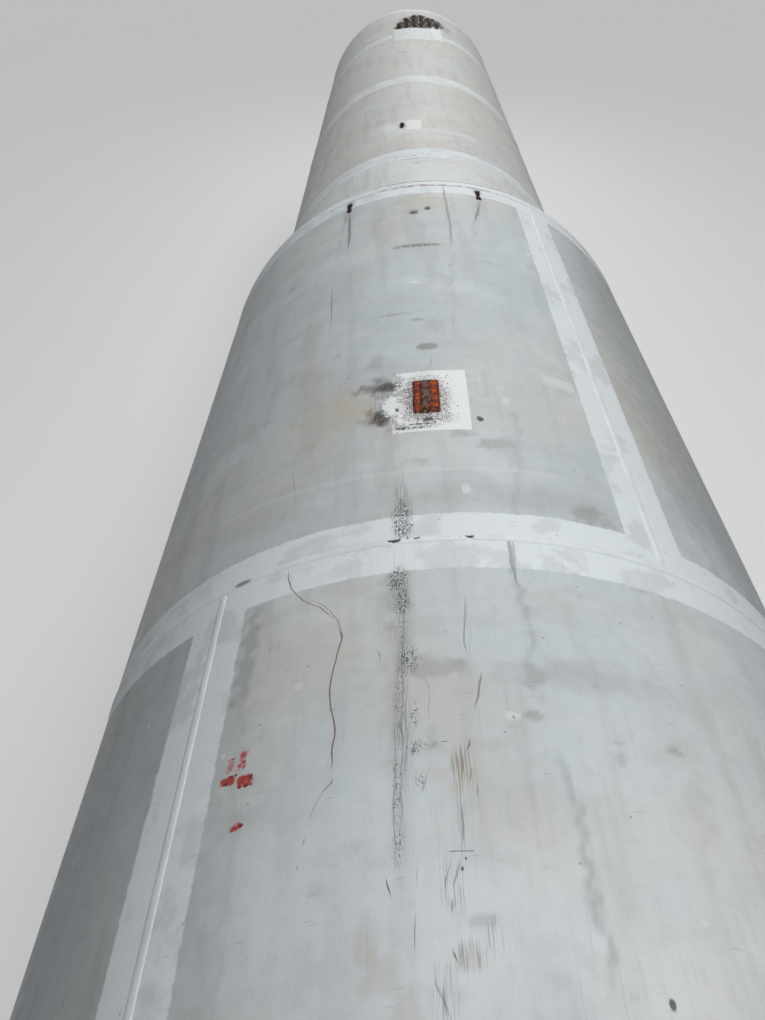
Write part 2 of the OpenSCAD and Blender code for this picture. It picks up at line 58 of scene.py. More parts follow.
class Wire:
    # One value inside a shader: operators add Math nodes, and node() adds a node of any other kind
    def __init__(self, tree, socket):
        self.tree = tree
        self.socket = socket

    def node(self, kind, settings=None, inputs=None, out=0):
        made = self.tree.nodes.new("ShaderNode" + kind)
        for key, value in (settings or {}).items():
            if key == "stops":
                fillRamp(made.color_ramp, value)
            else:
                setattr(made, key, value)
        for key, value in (inputs or {}).items():
            if isinstance(value, Wire):
                self.tree.links.new(value.socket, made.inputs[key])
            else:
                made.inputs[key].default_value = value
        return Wire(self.tree, made.outputs[out])

    def other(self, out):
        # another output of the node that this value comes from
        return Wire(self.tree, self.socket.node.outputs[out])

    def math(self, operation, *values):
        return self.node("Math", {"operation": operation}, dict(enumerate(values)))

    def __add__(self, other):
        return self.math("ADD", self, other)

    def __sub__(self, other):
        return self.math("SUBTRACT", self, other)

    def __rsub__(self, other):
        return self.math("SUBTRACT", other, self)

    def __mul__(self, other):
        return self.math("MULTIPLY", self, other)

    def __abs__(self):
        return self.math("ABSOLUTE", self)

    __radd__ = __add__
    __rmul__ = __mul__


def fillRamp(ramp, stops):
    # a smooth curve through stops of (position, first value, second value, third value)
    ramp.interpolation = "CARDINAL"
    while len(ramp.elements) < len(stops):
        ramp.elements.new(0.5)
    for element, (position, *values) in zip(ramp.elements, stops):
        element.position = position
        element.color = (*values, 1.0)


def packed(strokes):
    # strokes that follow one another along y share a ramp, which holds at most 32 stops
    groups = []
    for stroke in sorted(strokes, key=lambda stroke: min(y for arc, y in stroke[2])):
        first = min(y for arc, y in stroke[2])
        fitting = [group for group in groups if max(y for arc, y in group[-1][2]) < first - 0.012
                   and sum(len(other[2]) + 2 for other in group) + len(stroke[2]) + 2 <= 31]
        if fitting:
            fitting[0].append(stroke)
        else:
            groups.append([stroke])
    return groups


def colour(red, green, blue):
    # an sRGB colour from 0 to 255 as linear values
    parts = np.array([red, green, blue]) / 255
    linear = np.where(parts <= 0.04045, parts / 12.92, ((parts + 0.055) / 1.055) ** 2.4)
    return (*(float(v) for v in linear), 1.0)


def smooth(value, low, high):
    # 0 at low and 1 at high, with an S-curve between them; low may be the larger
    return value.node("MapRange", {"interpolation_type": "SMOOTHSTEP"}, {0: value, 1: low, 2: high})


def near(value, centre, half, soft):
    # 1 where value is within half of centre, falling to 0 over soft on either side
    return smooth(abs(value - centre), half + soft, half - soft)


def most(first, *others):
    for other in others:
        first = first.math("MAXIMUM", first, other)
    return first


def mix(factor, first, second):
    # first where factor is 0, second where it is 1
    return factor.node("Mix", {"data_type": "RGBA"}, {0: factor, 6: first, 7: second}, out=2)


def mixValue(factor, first, second):
    return factor.node("Mix", {"data_type": "FLOAT"}, {0: factor, 2: first, 3: second})


class Skin:
    # Where a shader point lies on a round shell: arc from the top in metres, and y along the axis
    def __init__(self, name, radius):
        self.material = bpy.data.materials.new(name)
        self.material.use_nodes = True
        self.tree = self.material.node_tree
        self.shader = self.tree.nodes["Principled BSDF"]
        self.place = Wire(self.tree, None).node("TexCoord", out=3)
        self.x = self.place.node("SeparateXYZ", None, {0: self.place})
        self.y, self.z = self.x.other(1), self.x.other(2)
        self.up = self.z - vessel["axisZ"]
        self.arc = self.x.math("ARCTAN2", self.x, self.up) * radius
        self.rough = self.grain(70.0, 70.0)
        self.arcLoose = self.arc + (self.grain(16.0, 16.0, 3.0) - 0.5) * 0.008

    def vector(self, first, second, third):
        return self.place.node("CombineXYZ", None, {0: first, 1: second, 2: third})

    def noise(self, scale, detail=2.0, rough=0.5, vector=None):
        # smooth noise about 0.5; scale is in lumps per metre
        return self.place.node("TexNoise", None, {
            "Vector": vector or self.place, "Scale": scale, "Detail": detail, "Roughness": rough})

    def drawn(self, across, along, down):
        # noise drawn out along x, y and z: lumps per metre in each
        return self.noise(1.0, 3.0, 0.6, self.vector(self.x * across, self.y * along, self.z * down))

    def grain(self, across, along, seed=0.0, detail=1.0, rough=0.5):
        # noise on the flattened shell, stretched: lumps per metre across and along
        flat = self.vector(self.arc * across + seed * 7.3, self.y * along, 0.0)
        return self.place.node("TexNoise", {"noise_dimensions": "2D"}, {
            "Vector": flat, "Scale": 1.0, "Detail": detail, "Roughness": rough})

    def dots(self, perMetre, size, share, along=1.0, seed=0.0):
        # scattered dots in a share of the cells of a lattice; along above 1 makes them short
        cells = self.place.node("TexVoronoi", {"voronoi_dimensions": "2D"}, {
            "Vector": self.vector(self.arc + seed, self.y * along, 0.0), "Scale": perMetre})
        pick = cells.node("SeparateColor", None, {0: cells.other("Color")})
        dot = smooth(cells, size * perMetre * 1.4, size * perMetre * 0.6)
        return dot * smooth(pick, share, share - 0.02)

    def line(self, group):
        # thin strokes along y that taper at both ends; a ramp holds their arc, width and strength
        widest = max(half for strength, half, path in group)
        soft = 0.5 * sum(half for strength, half, path in group) / len(group)
        arcs = [arc for strength, half, path in group for arc, y in path]
        lowest, span = min(arcs) - 0.01, max(arcs) - min(arcs) + 0.02
        points = []
        for strength, half, path in group:
            own = sorted((y, arc, half / widest, strength) for arc, y in path)
            own[0], own[-1] = (*own[0][:2], 0.0, strength), (*own[-1][:2], 0.0, strength)
            points += [(own[0][0] - 0.003, *own[0][1:]), *own, (own[-1][0] + 0.003, *own[-1][1:])]
        first, last = points[0][0], points[-1][0]
        stops = [((y - first) / (last - first), (arc - lowest) / span, width, strength)
                 for y, arc, width, strength in points]
        share = self.y.node("MapRange", None, {0: self.y, 1: first, 2: last})
        ramp = share.node("ValToRGB", {"stops": stops}, {0: share})
        where = ramp.node("SeparateColor", None, {0: ramp})
        off = abs(self.arcLoose - where.math("MULTIPLY_ADD", where, span, lowest))
        thin = off.math("MULTIPLY_ADD", where.other(1), -widest - soft * 0.5, off)
        return smooth(thin, 0.0, -1.6 * soft) * where.other(2)

    def lay(self, share, name):
        self.tone = mix(share, self.tone, paint[name])

    def strokes(self, table):
        for name, strokes in table.items():
            self.lay(most(*[self.line(group) for group in packed(strokes)]), name)

    def finishShell(self):
        # orange peel and a satin that varies
        rough = mixValue(self.band, paint["roughness"] + (self.mottle - 0.5) * 0.3, paint["bandRoughness"])
        rough = mixValue(self.sootMask, rough, paint["sootRoughness"])
        peel = self.grain(420.0, 420.0, 9.0, 0.0)
        return self.finish(self.tone, rough, peel, paint["peel"], specular=0.15)

    def blot(self, arc, y, acrossHalf, alongHalf, soft=0.5, wobble=0.0, turn=0.0):
        # an ellipse, 1 in the middle; soft is the share of its size over which it falls
        across, along = self.arc - arc, self.y - y
        if turn:
            c, s = math.cos(math.radians(turn)), math.sin(math.radians(turn))
            across, along = across * c + along * s, along * c - across * s
        flat = self.vector(across * (1 / acrossHalf), along * (1 / alongHalf), 0.0)
        far = flat.node("VectorMath", {"operation": "LENGTH"}, {0: flat}, out=1)
        if wobble:
            far = far + (self.rough - 0.5) * wobble
        return smooth(far, 1 + soft, 1 - soft)

    def box(self, arc, y, acrossHalf, alongHalf, soft=0.002, wobble=0.0):
        # a rectangle; soft and wobble are in metres
        across, along = abs(self.arc - arc), abs(self.y - y)
        if wobble:
            across = across + (self.rough - 0.5) * wobble
            along = along + (self.rough - 0.5) * wobble
        return smooth(across, acrossHalf + soft, acrossHalf - soft) * smooth(
            along, alongHalf + soft, alongHalf - soft)

    def spots(self, rows):
        # the strongest of several marks from a table
        marks = []
        for shape, strength, *place in rows:
            mark = self.box(*place) if shape == "box" else self.blot(*place)
            marks.append(mark if strength == 1 else mark * strength)
        return most(*marks)

    def finish(self, tone, rough, height=None, distance=0.001, metallic=0.0, specular=0.4):
        self.tree.links.new(tone.socket, self.shader.inputs["Base Color"])
        for key, value in (("Roughness", rough), ("Metallic", metallic)):
            if isinstance(value, Wire):
                self.tree.links.new(value.socket, self.shader.inputs[key])
            else:
                self.shader.inputs[key].default_value = value
        self.shader.inputs["Specular IOR Level"].default_value = specular
        if height:
            bump = height.node("Bump", None, {"Strength": 1.0, "Distance": distance, "Height": height})
            self.tree.links.new(bump.socket, self.shader.inputs["Normal"])
        return self.material


# Paint of the shells: two broad tones for each part, white over the welds, colours of dirt, and a dark grey
# for bare steel that also paints shade
paint = dict(
    nearCool=colour(195, 203, 209), nearWarm=colour(200, 203, 203),
    wideCool=colour(189, 197, 202), wideWarm=colour(195, 198, 197),
    coneCool=colour(212, 218, 219), coneWarm=colour(213, 215, 213),
    narrowCool=colour(200, 202, 203), narrowWarm=colour(202, 201, 198),
    white=colour(224, 231, 235), whiteWorn=colour(211, 217, 221), patch=colour(233, 236, 238),
    # bare: the grey of scraped, bare steel, also laid as painted shade on the wide flanks and along the
    # cone's shoulder
    beige=colour(184, 177, 163), grime=colour(136, 134, 129), bare=colour(112, 116, 119),
    dark=colour(54, 52, 50), brown=colour(98, 66, 50), red=colour(160, 46, 42), pink=colour(190, 112, 114),
    oldRed=colour(84, 28, 26), crack=colour(116, 72, 70),
    rust=colour(150, 82, 44), soot=colour(36, 34, 34), chalk=colour(217, 221, 222),
    bandHalf=0.11, seamBandHalf=0.098, bandCover=0.92,
    roughness=0.52, bandRoughness=0.62, sootRoughness=0.95, peel=0.0003,
)


def ease(value, low, high):
    # 0 at low and 1 at high, with an S-curve between them; low may be the larger
    share = np.clip((value - low) / (high - low), 0, 1)
    return share * share * (3 - 2 * share)


def clouds(first, second, third, size, seed, octaves=4):
    # a cloudy field about 0.5 over three parameters: sine waves in random directions, of which each
    # octave is half as long as the one before it and 0.6 times as high
    pick = np.random.default_rng(seed)
    total, power = 0.0, 0.0
    for octave in range(octaves):
        for _ in range(8):
            way = pick.normal(size=3)
            way = way / np.linalg.norm(way) * 2 * np.pi / (size * 0.5 ** octave * pick.uniform(0.7, 1.4))
            phase = pick.uniform(0, 2 * np.pi)
            wave = np.sin(first * way[0] + second * way[1] + third * way[2] + phase)
            total = total + 0.6 ** octave * wave
            power += 0.5 * 0.36 ** octave
    return 0.5 + total / math.sqrt(power) * 0.2


# Broad stains, and painted shade that darkens the wide flanks, as (arc, y, half across, half along, strength,
# colour), in metres from the vessel's top
nearStainsAndShade = [
    (-0.25, -4.62, 0.26, 0.4, 0.3, "chalk"), (0.35, -4.45, 0.22, 0.5, 0.25, "chalk"),
    (0.42, -3.95, 0.2, 0.3, 0.3, "wideCool"), (-0.35, -4.4, 0.12, 0.5, 0.3, "wideCool"),
    (-0.13, -3.98, 0.07, 0.03, 0.4, "grime"), (-0.1, -4.1, 0.2, 0.16, 0.22, "beige"),
    (-0.45, -3.93, 0.16, 0.14, 0.16, "beige"), (-0.02, -4.3, 0.12, 0.12, 0.22, "beige"),
    (0.174, -3.775, 0.07, 0.045, 0.24, "beige"), (0.2, -4.0, 0.16, 0.05, 0.22, "grime"),
    (-0.275, -4.575, 0.022, 0.05, 0.3, "beige"), (-0.245, -4.63, 0.03, 0.04, 0.32, "beige"),
    (-0.2, -4.68, 0.03, 0.04, 0.3, "beige"), (0.09, -4.02, 0.02, 0.06, 0.25, "grime"),
    (0.26, -4.163, 0.022, 0.006, 0.7, "grime"), (0.248, -4.2, 0.012, 0.02, 0.3, "grime"),
    (0.382, -4.164, 0.018, 0.009, 0.45, "grime"), (0.071, -4.116, 0.016, 0.014, 0.45, "grime"),
    (0.44, -3.668, 0.026, 0.012, 0.4, "grime"), (-0.09, -4.245, 0.022, 0.045, 0.45, "beige"),
    (-0.07, -4.54, 0.03, 0.014, 0.35, "bare"), (-0.095, -4.6, 0.03, 0.02, 0.35, "beige"),
    (-0.62, -3.84, 0.022, 0.16, 0.3, "bare"), (0.05, -4.6, 0.25, 0.1, 0.18, "chalk"),
    (-0.222, -3.98, 0.03, 0.3, 0.1, "grime"), (-0.215, -3.73, 0.03, 0.08, 0.2, "grime"),
    # painted shade: the left flank of the first wide course darkened as if in shadow
    (-1.05, -4.2, 0.46, 1.2, 0.33, "bare"),
]
farStainsAndShade = [
    (-0.4, -2.82, 0.1, 0.16, 0.45, "beige"), (-0.5, -2.9, 0.1, 0.5, 0.28, "beige"),
    (-0.66, -3.23, 0.14, 0.12, 0.25, "beige"), (-0.08, -0.93, 0.13, 0.12, 0.45, "beige"),
    # the second mark below is painted shade: the right flank of the second wide course darkened as if in
    # shadow
    (-0.12, -1.5, 0.13, 0.03, 0.35, "beige"), (1.12, -2.1, 0.44, 1.7, 0.42, "bare"),
    (-0.004, -3.056, 0.05, 0.02, 0.3, "grime"), (0.098, -3.1, 0.055, 0.03, 0.38, "grime"),
    (0.345, -3.405, 0.055, 0.038, 0.48, "grime"), (-0.155, -3.19, 0.05, 0.02, 0.22, "grime"),
    (-0.3, -2.905, 0.045, 0.035, 0.4, "brown"), (-0.35, -2.86, 0.09, 0.08, 0.3, "beige"),
    (-0.245, -2.742, 0.04, 0.036, 0.62, "soot"), (-0.285, -2.725, 0.06, 0.05, 0.4, "soot"),
    (-0.32, -2.74, 0.06, 0.03, 0.25, "brown"), (-0.285, -2.68, 0.045, 0.022, 0.25, "soot"),
    (-0.268, -2.92, 0.026, 0.05, 0.7, "soot"), (-0.29, -2.93, 0.036, 0.045, 0.35, "brown"),
    (-0.25, -2.8, 0.03, 0.03, 0.35, "brown"), (0.32, -1.9, 0.22, 0.9, 0.3, "wideCool"),
    (0.22, -3.0, 0.1, 0.5, 0.35, "wideCool"), (-0.45, -2.05, 0.05, 0.4, 0.25, "wideCool"),
    (0.67, -2.6, 0.1, 0.6, 0.2, "beige"), (-0.25, -1.2, 0.1, 0.3, 0.22, "beige"),
    (-0.3, -2.55, 0.03, 0.05, 0.35, "grime"), (0.1, -3.36, 0.35, 0.06, 0.2, "grime"),
    (-0.6, -2.3, 0.05, 0.6, 0.2, "beige"),
]
farEndStains = [
    (0.05, 1.16, 0.4, 0.06, 0.35, "white"), (-0.14, 4.1, 0.06, 0.05, 0.3, "grime"),
    (-0.2, 1.335, 0.17, 0.18, 0.45, "chalk"), (-0.27, 1.335, 0.06, 0.12, 0.6, "white"),
    (0.1, 5.95, 0.34, 0.34, 0.3, "grime"), (0.36, 5.85, 0.1, 0.2, 0.45, "grime"),
    (-0.04, 5.0, 0.24, 0.2, 0.4, "wideCool"),
]
# Soft streaks as (strength, half width, softness, colour, path)
nearStreaks = [
    (0.42, 0.005, 0.012, "bare", [(0.085, -3.56), (0.084, -3.716), (0.086, -3.766), (0.102, -3.831),
        (0.097, -3.92), (0.083, -4.004)]),
    (0.42, 0.007, 0.012, "bare", [(0.112, -4.18), (0.122, -4.262), (0.134, -4.334), (0.129, -4.509),
        (0.143, -4.565), (0.13, -4.68)]),
    (0.2, 0.004, 0.014, "bare", [(-0.605, -3.7), (-0.6, -3.967), (-0.602, -4.076), (-0.572, -4.339),
        (-0.563, -4.528), (-0.545, -4.72)]),
    (0.14, 0.016, 0.02, "grime", [(-0.208, -3.6), (-0.207, -4.12), (-0.213, -4.48)]),
]
farStreaks = [
    (0.3, 0.006, 0.014, "grime", [(0.185, -2.88), (0.17, -3.021), (0.159, -3.218), (0.111, -3.447),
        (0.103, -3.57)]),
    (0.3, 0.004, 0.01, "grime", [(0.041, -0.7), (0.045, -0.981), (0.048, -1.333), (0.034, -1.705),
        (0.0, -2.4)]),
    (0.35, 0.004, 0.01, "grime", [(-0.505, -0.76), (-0.511, -1.256), (-0.518, -1.321), (-0.5, -1.5)]),
    (0.4, 0.005, 0.01, "grime", [(0.228, -0.8), (0.216, -0.97), (0.176, -1.188), (0.153, -1.45)]),
    (0.4, 0.006, 0.01, "grime", [(-0.486, -0.74), (-0.466, -0.993), (-0.463, -1.27)]),
    (0.25, 0.01, 0.02, "wideCool", [(-0.6, -2.9), (-0.556, -3.181), (-0.525, -3.48)]),
]
# Places where the shader draws soot or scraped paint, as (arc, y, half across, half along,
# strength, kind)
nearMarks = [
    (-0.216, -3.695, 0.022, 0.045, 1.0, "soot"), (-0.206, -3.765, 0.017, 0.05, 0.8, "soot"),
    (-0.19, -3.955, 0.02, 0.04, 0.85, "soot"), (-0.179, -4.112, 0.009, 0.032, 0.6, "soot"),
    (-0.18, -4.19, 0.014, 0.016, 0.7, "soot"), (-0.152, -4.186, 0.02, 0.009, 0.6, "soot"),
    (-0.218, -4.28, 0.008, 0.07, 0.5, "soot"), (-0.216, -4.39, 0.007, 0.05, 0.5, "soot"),
    (-0.206, -3.86, 0.012, 0.1, 0.32, "soot"), (-0.211, -4.06, 0.012, 0.12, 0.34, "soot"),
    (-0.172, -4.265, 0.008, 0.026, 0.45, "soot"), (-0.208, -3.8, 0.026, 0.2, 0.5, "scraped"),
    (-0.209, -4.08, 0.022, 0.24, 0.58, "scraped"), (-0.214, -4.32, 0.015, 0.16, 0.55, "scraped"),
    (-0.085, -4.245, 0.026, 0.06, 0.9, "scraped"), (-0.049, -4.568, 0.016, 0.034, 0.9, "scraped"),
    (-0.094, -4.596, 0.028, 0.026, 0.75, "scraped"), (-0.115, -4.475, 0.024, 0.06, 0.7, "scraped"),
    (-0.14, -4.65, 0.022, 0.05, 0.75, "scraped"), (-0.095, -4.35, 0.01, 0.08, 0.6, "scraped"),
    (-0.05, -3.85, 0.01, 0.14, 0.5, "scraped"),
]
farMarks = [
    (-0.118, -2.832, 0.074, 0.132, 0.85, "soot"), (-0.165, -2.8, 0.03, 0.09, 1.0, "soot"),
    (-0.165, -2.905, 0.03, 0.06, 1.0, "soot"), (-0.24, -2.745, 0.05, 0.024, 0.95, "soot"),
    (-0.272, -2.925, 0.026, 0.045, 0.95, "soot"), (-0.16, -3.005, 0.08, 0.014, 0.8, "soot"),
    (-0.1, -2.96, 0.07, 0.036, 0.85, "soot"), (-0.202, -3.465, 0.026, 0.09, 0.95, "soot"),
    (-0.128, -1.05, 0.03, 0.02, 1.0, "soot"), (-0.056, -1.015, 0.018, 0.018, 0.95, "soot"),
    (-0.125, -1.495, 0.12, 0.014, 0.65, "soot"), (-0.48, -0.7, 0.03, 0.06, 1.0, "soot"),
    (-0.59, -0.6, 0.018, 0.08, 1.0, "soot"), (0.228, -0.7, 0.024, 0.05, 0.95, "soot"),
    (-0.202, -3.4, 0.03, 0.15, 0.9, "scraped"), (-0.25, -2.85, 0.07, 0.18, 0.75, "scraped"),
    (-0.486, -0.9, 0.014, 0.16, 0.75, "scraped"), (0.2, -1.0, 0.02, 0.2, 0.7, "scraped"),
]
farEndMarks = [
    (-0.168, 1.335, 0.024, 0.075, 0.8, "soot"), (-0.14, 5.62, 0.08, 0.24, 0.95, "soot"),
    (0.03, 5.85, 0.18, 0.42, 1.0, "soot"), (0.2, 5.95, 0.13, 0.33, 1.0, "soot"),
    (0.06, 6.2, 0.1, 0.22, 0.9, "soot"), (0.28, 5.95, 0.08, 0.24, 0.8, "soot"),
]
# Smaller stains strewn over every shell: how many on a square metre, and their sizes and strengths
strewn = dict(perSquare=11.0, size=(0.01, 0.07), longer=(0.3, 2.2), strength=(0.05, 0.24),
              colours=("grime", "grime", "beige", "bare", "chalk"))


def tintPiece(piece, radius, cool, warm, seed, stainsAndShade=(), streaks=(), marks=()):
    # the broad colours of a shell, kept at its mesh points: clouds between two tones, stains, painted shade
    # on the wide flanks, streaks, runs of dirt down the sides and grime underneath; other values say how worn
    # the white bands are and where the shader draws soot and scraped paint
    mesh = piece.data
    places = np.empty(len(mesh.vertices) * 3)
    mesh.vertices.foreach_get("co", places)
    x, y, z = places.reshape(-1, 3).T
    up = z - vessel["axisZ"]
    arc = np.arctan2(x, up) * radius
    tones = {name: np.array(value[:3]) for name, value in paint.items() if isinstance(value, tuple)}
    tint = np.zeros((len(x), 3)) + tones[cool]

    def lay(share, name):
        nonlocal tint
        tint = tint + (tones[name] - tint) * np.clip(share, 0, 1)[:, None]

    lay(ease(clouds(x, y, z, 1.3, seed), 0.25, 0.75), warm)
    lay(0.22 * ease(clouds(x, y, z, 0.55, seed + 1), 0.5, 0.85), "white")
    lay(0.13 * ease(clouds(arc * 1.6, y * 0.7, 0 * z, 0.5, seed + 2), 0.52, 0.88), "beige")
    lay(0.16 * ease(clouds(arc * 5.0, y * 0.5, 0 * z, 0.5, seed + 3, 3), 0.55, 0.9), "grime")
    lay(0.1 * ease(clouds(arc, y * 4.0, 0 * z, 0.5, seed + 4), 0.55, 0.9), "grime")
    ragged = clouds(x, y, z, 0.06, seed + 5, 2) - 0.5
    pick = np.random.default_rng(seed + 6)
    low, high = y.min(), y.max()
    spots = list(stainsAndShade)
    for _ in range(int(strewn["perSquare"] * (high - low) * 2.6 * radius)):
        size = pick.uniform(*strewn["size"]) ** 1.2
        spots.append((pick.uniform(-1.3, 1.3) * radius, pick.uniform(low, high), size,
                      size * pick.uniform(*strewn["longer"]), pick.uniform(*strewn["strength"]),
                      pick.choice(strewn["colours"])))
    for spotArc, spotY, across, along, strength, name in spots:
        close = (abs(arc - spotArc) < across * 2) & (abs(y - spotY) < along * 2)
        far = np.hypot((arc[close] - spotArc) / across, (y[close] - spotY) / along)
        # broad stains and painted shade fade evenly, small ones have ragged rims
        share = strength * ease(far + ragged[close] * min(1.2, 0.1 / across), 1.35, 0.55)
        tint[close] = tint[close] + (tones[name] - tint[close]) * share[:, None]
    for strength, half, soft, name, path in streaks:
        points = np.array(sorted((y, arc) for arc, y in path))
        off = abs(arc + ragged * 0.03 - np.interp(y, points[:, 0], points[:, 1]))
        share = strength * window(y, points[0, 0], points[-1, 0], 0.08)
        lay(share * ease(off, half + soft, half - soft), name)
    side = ease(up, radius * 0.75, -0.2)
    run = ease(clouds(y * 6.0, x * 0.5, up * 0.5, 0.7, seed + 7), 0.45, 0.8)
    lay(0.34 * run * side, "grime")
    under = ease(up + (clouds(x, y, z, 0.6, seed + 8) - 0.5) * 0.5, -0.45, -1.1)
    lay(0.35 * under, "grime")
    worn = ease(clouds(x, y, z, 0.22, seed + 9), 0.35, 0.8) * 0.7 + 0.5 * run * side + 0.6 * under
    kinds = dict(soot=np.zeros(len(x)), scraped=np.zeros(len(x)))
    for spotArc, spotY, across, along, strength, kind in marks:
        far = np.hypot((arc - spotArc) / across, (y - spotY) / along)
        kinds[kind] = np.maximum(kinds[kind], strength * ease(far, 1.5, 0.5))
    mesh.attributes.new("tint", "FLOAT_VECTOR", "POINT").data.foreach_set("vector", tint.ravel())
    mesh.attributes.new("worn", "FLOAT", "POINT").data.foreach_set("value", np.clip(worn, 0, 1))
    # a vector of which the third value is unused
    where = np.stack([kinds["soot"], kinds["scraped"], 0 * x], -1)
    mesh.attributes.new("marks", "FLOAT_VECTOR", "POINT").data.foreach_set("vector", where.ravel())


def shellSkin(name, radius, rings, seams):
    # the paint that all shells share; rings are (y, half) and seams (degrees, y from, y to)
    skin = Skin(name, radius)
    skin.tone = skin.place.node("Attribute", {"attribute_name": "tint"})
    worn = skin.place.node("Attribute", {"attribute_name": "worn"}, None, 2)
    marks = skin.place.node("Attribute", {"attribute_name": "marks"})
    skin.marks = marks.node("SeparateXYZ", None, {0: marks})
    skin.mottle = skin.grain(24.0, 24.0, 1.0, 3.0, 0.65)
    skin.hair = skin.grain(300.0, 4.0, 2.0)
    skin.lay(smooth(skin.mottle, 0.48, 0.78) * 0.09, "grime")
    skin.lay(smooth(skin.mottle, 0.42, 0.2) * 0.1, "chalk")
    # contrast paint over the welds
    edge = (skin.rough - 0.5) * 0.006 + (skin.mottle - 0.5) * 0.012
    parts = [smooth(abs(skin.y - y) + edge, half + 0.003, half - 0.003) for y, half in rings]
    for angle, low, high in seams:
        arc = math.radians(angle) * radius
        half = paint["seamBandHalf"]
        parts.append(smooth(abs(skin.arc - arc) + edge, half + 0.003, half - 0.003)
                     * near(skin.y, (low + high) / 2, (high - low) / 2, 0.01))
    skin.band = most(*parts)
    white = mix(smooth(worn + (skin.mottle - 0.5) * 0.8, 0.25, 0.75), paint["white"], paint["whiteWorn"])
    cover = paint["bandCover"] - smooth(worn, 0.6, 1.0) * 0.5
    skin.tone = mix(skin.band * cover, skin.tone, white)
    # hairlines along the shell, specks, short dashes round it, scraped paint and soot
    skin.lay(smooth(skin.hair, 0.71, 0.79) * 0.14, "bare")
    skin.lay(smooth(skin.hair, 0.29, 0.22) * 0.14, "chalk")
    skin.lay(skin.dots(9.0, 0.0028, 0.22) * 0.45, "brown")
    skin.lay(skin.dots(6.5, 0.01, 0.2, 5.0, 7.0) * 0.22, "grime")
    scraped = smooth(skin.grain(380.0, 11.0, 5.0), 0.53, 0.64)
    skin.lay(smooth(skin.marks.other(1), 0.0, 1.0) * scraped * 0.62, "bare")
    # soot is laid as scribbled lines, where a noise crosses its middle value
    scribble = abs(skin.grain(150.0, 62.0, 3.0, 2.0, 0.6) - 0.5)
    skin.sootMask = smooth(scribble - skin.marks * 0.055, 0.008, -0.012)
    return skin


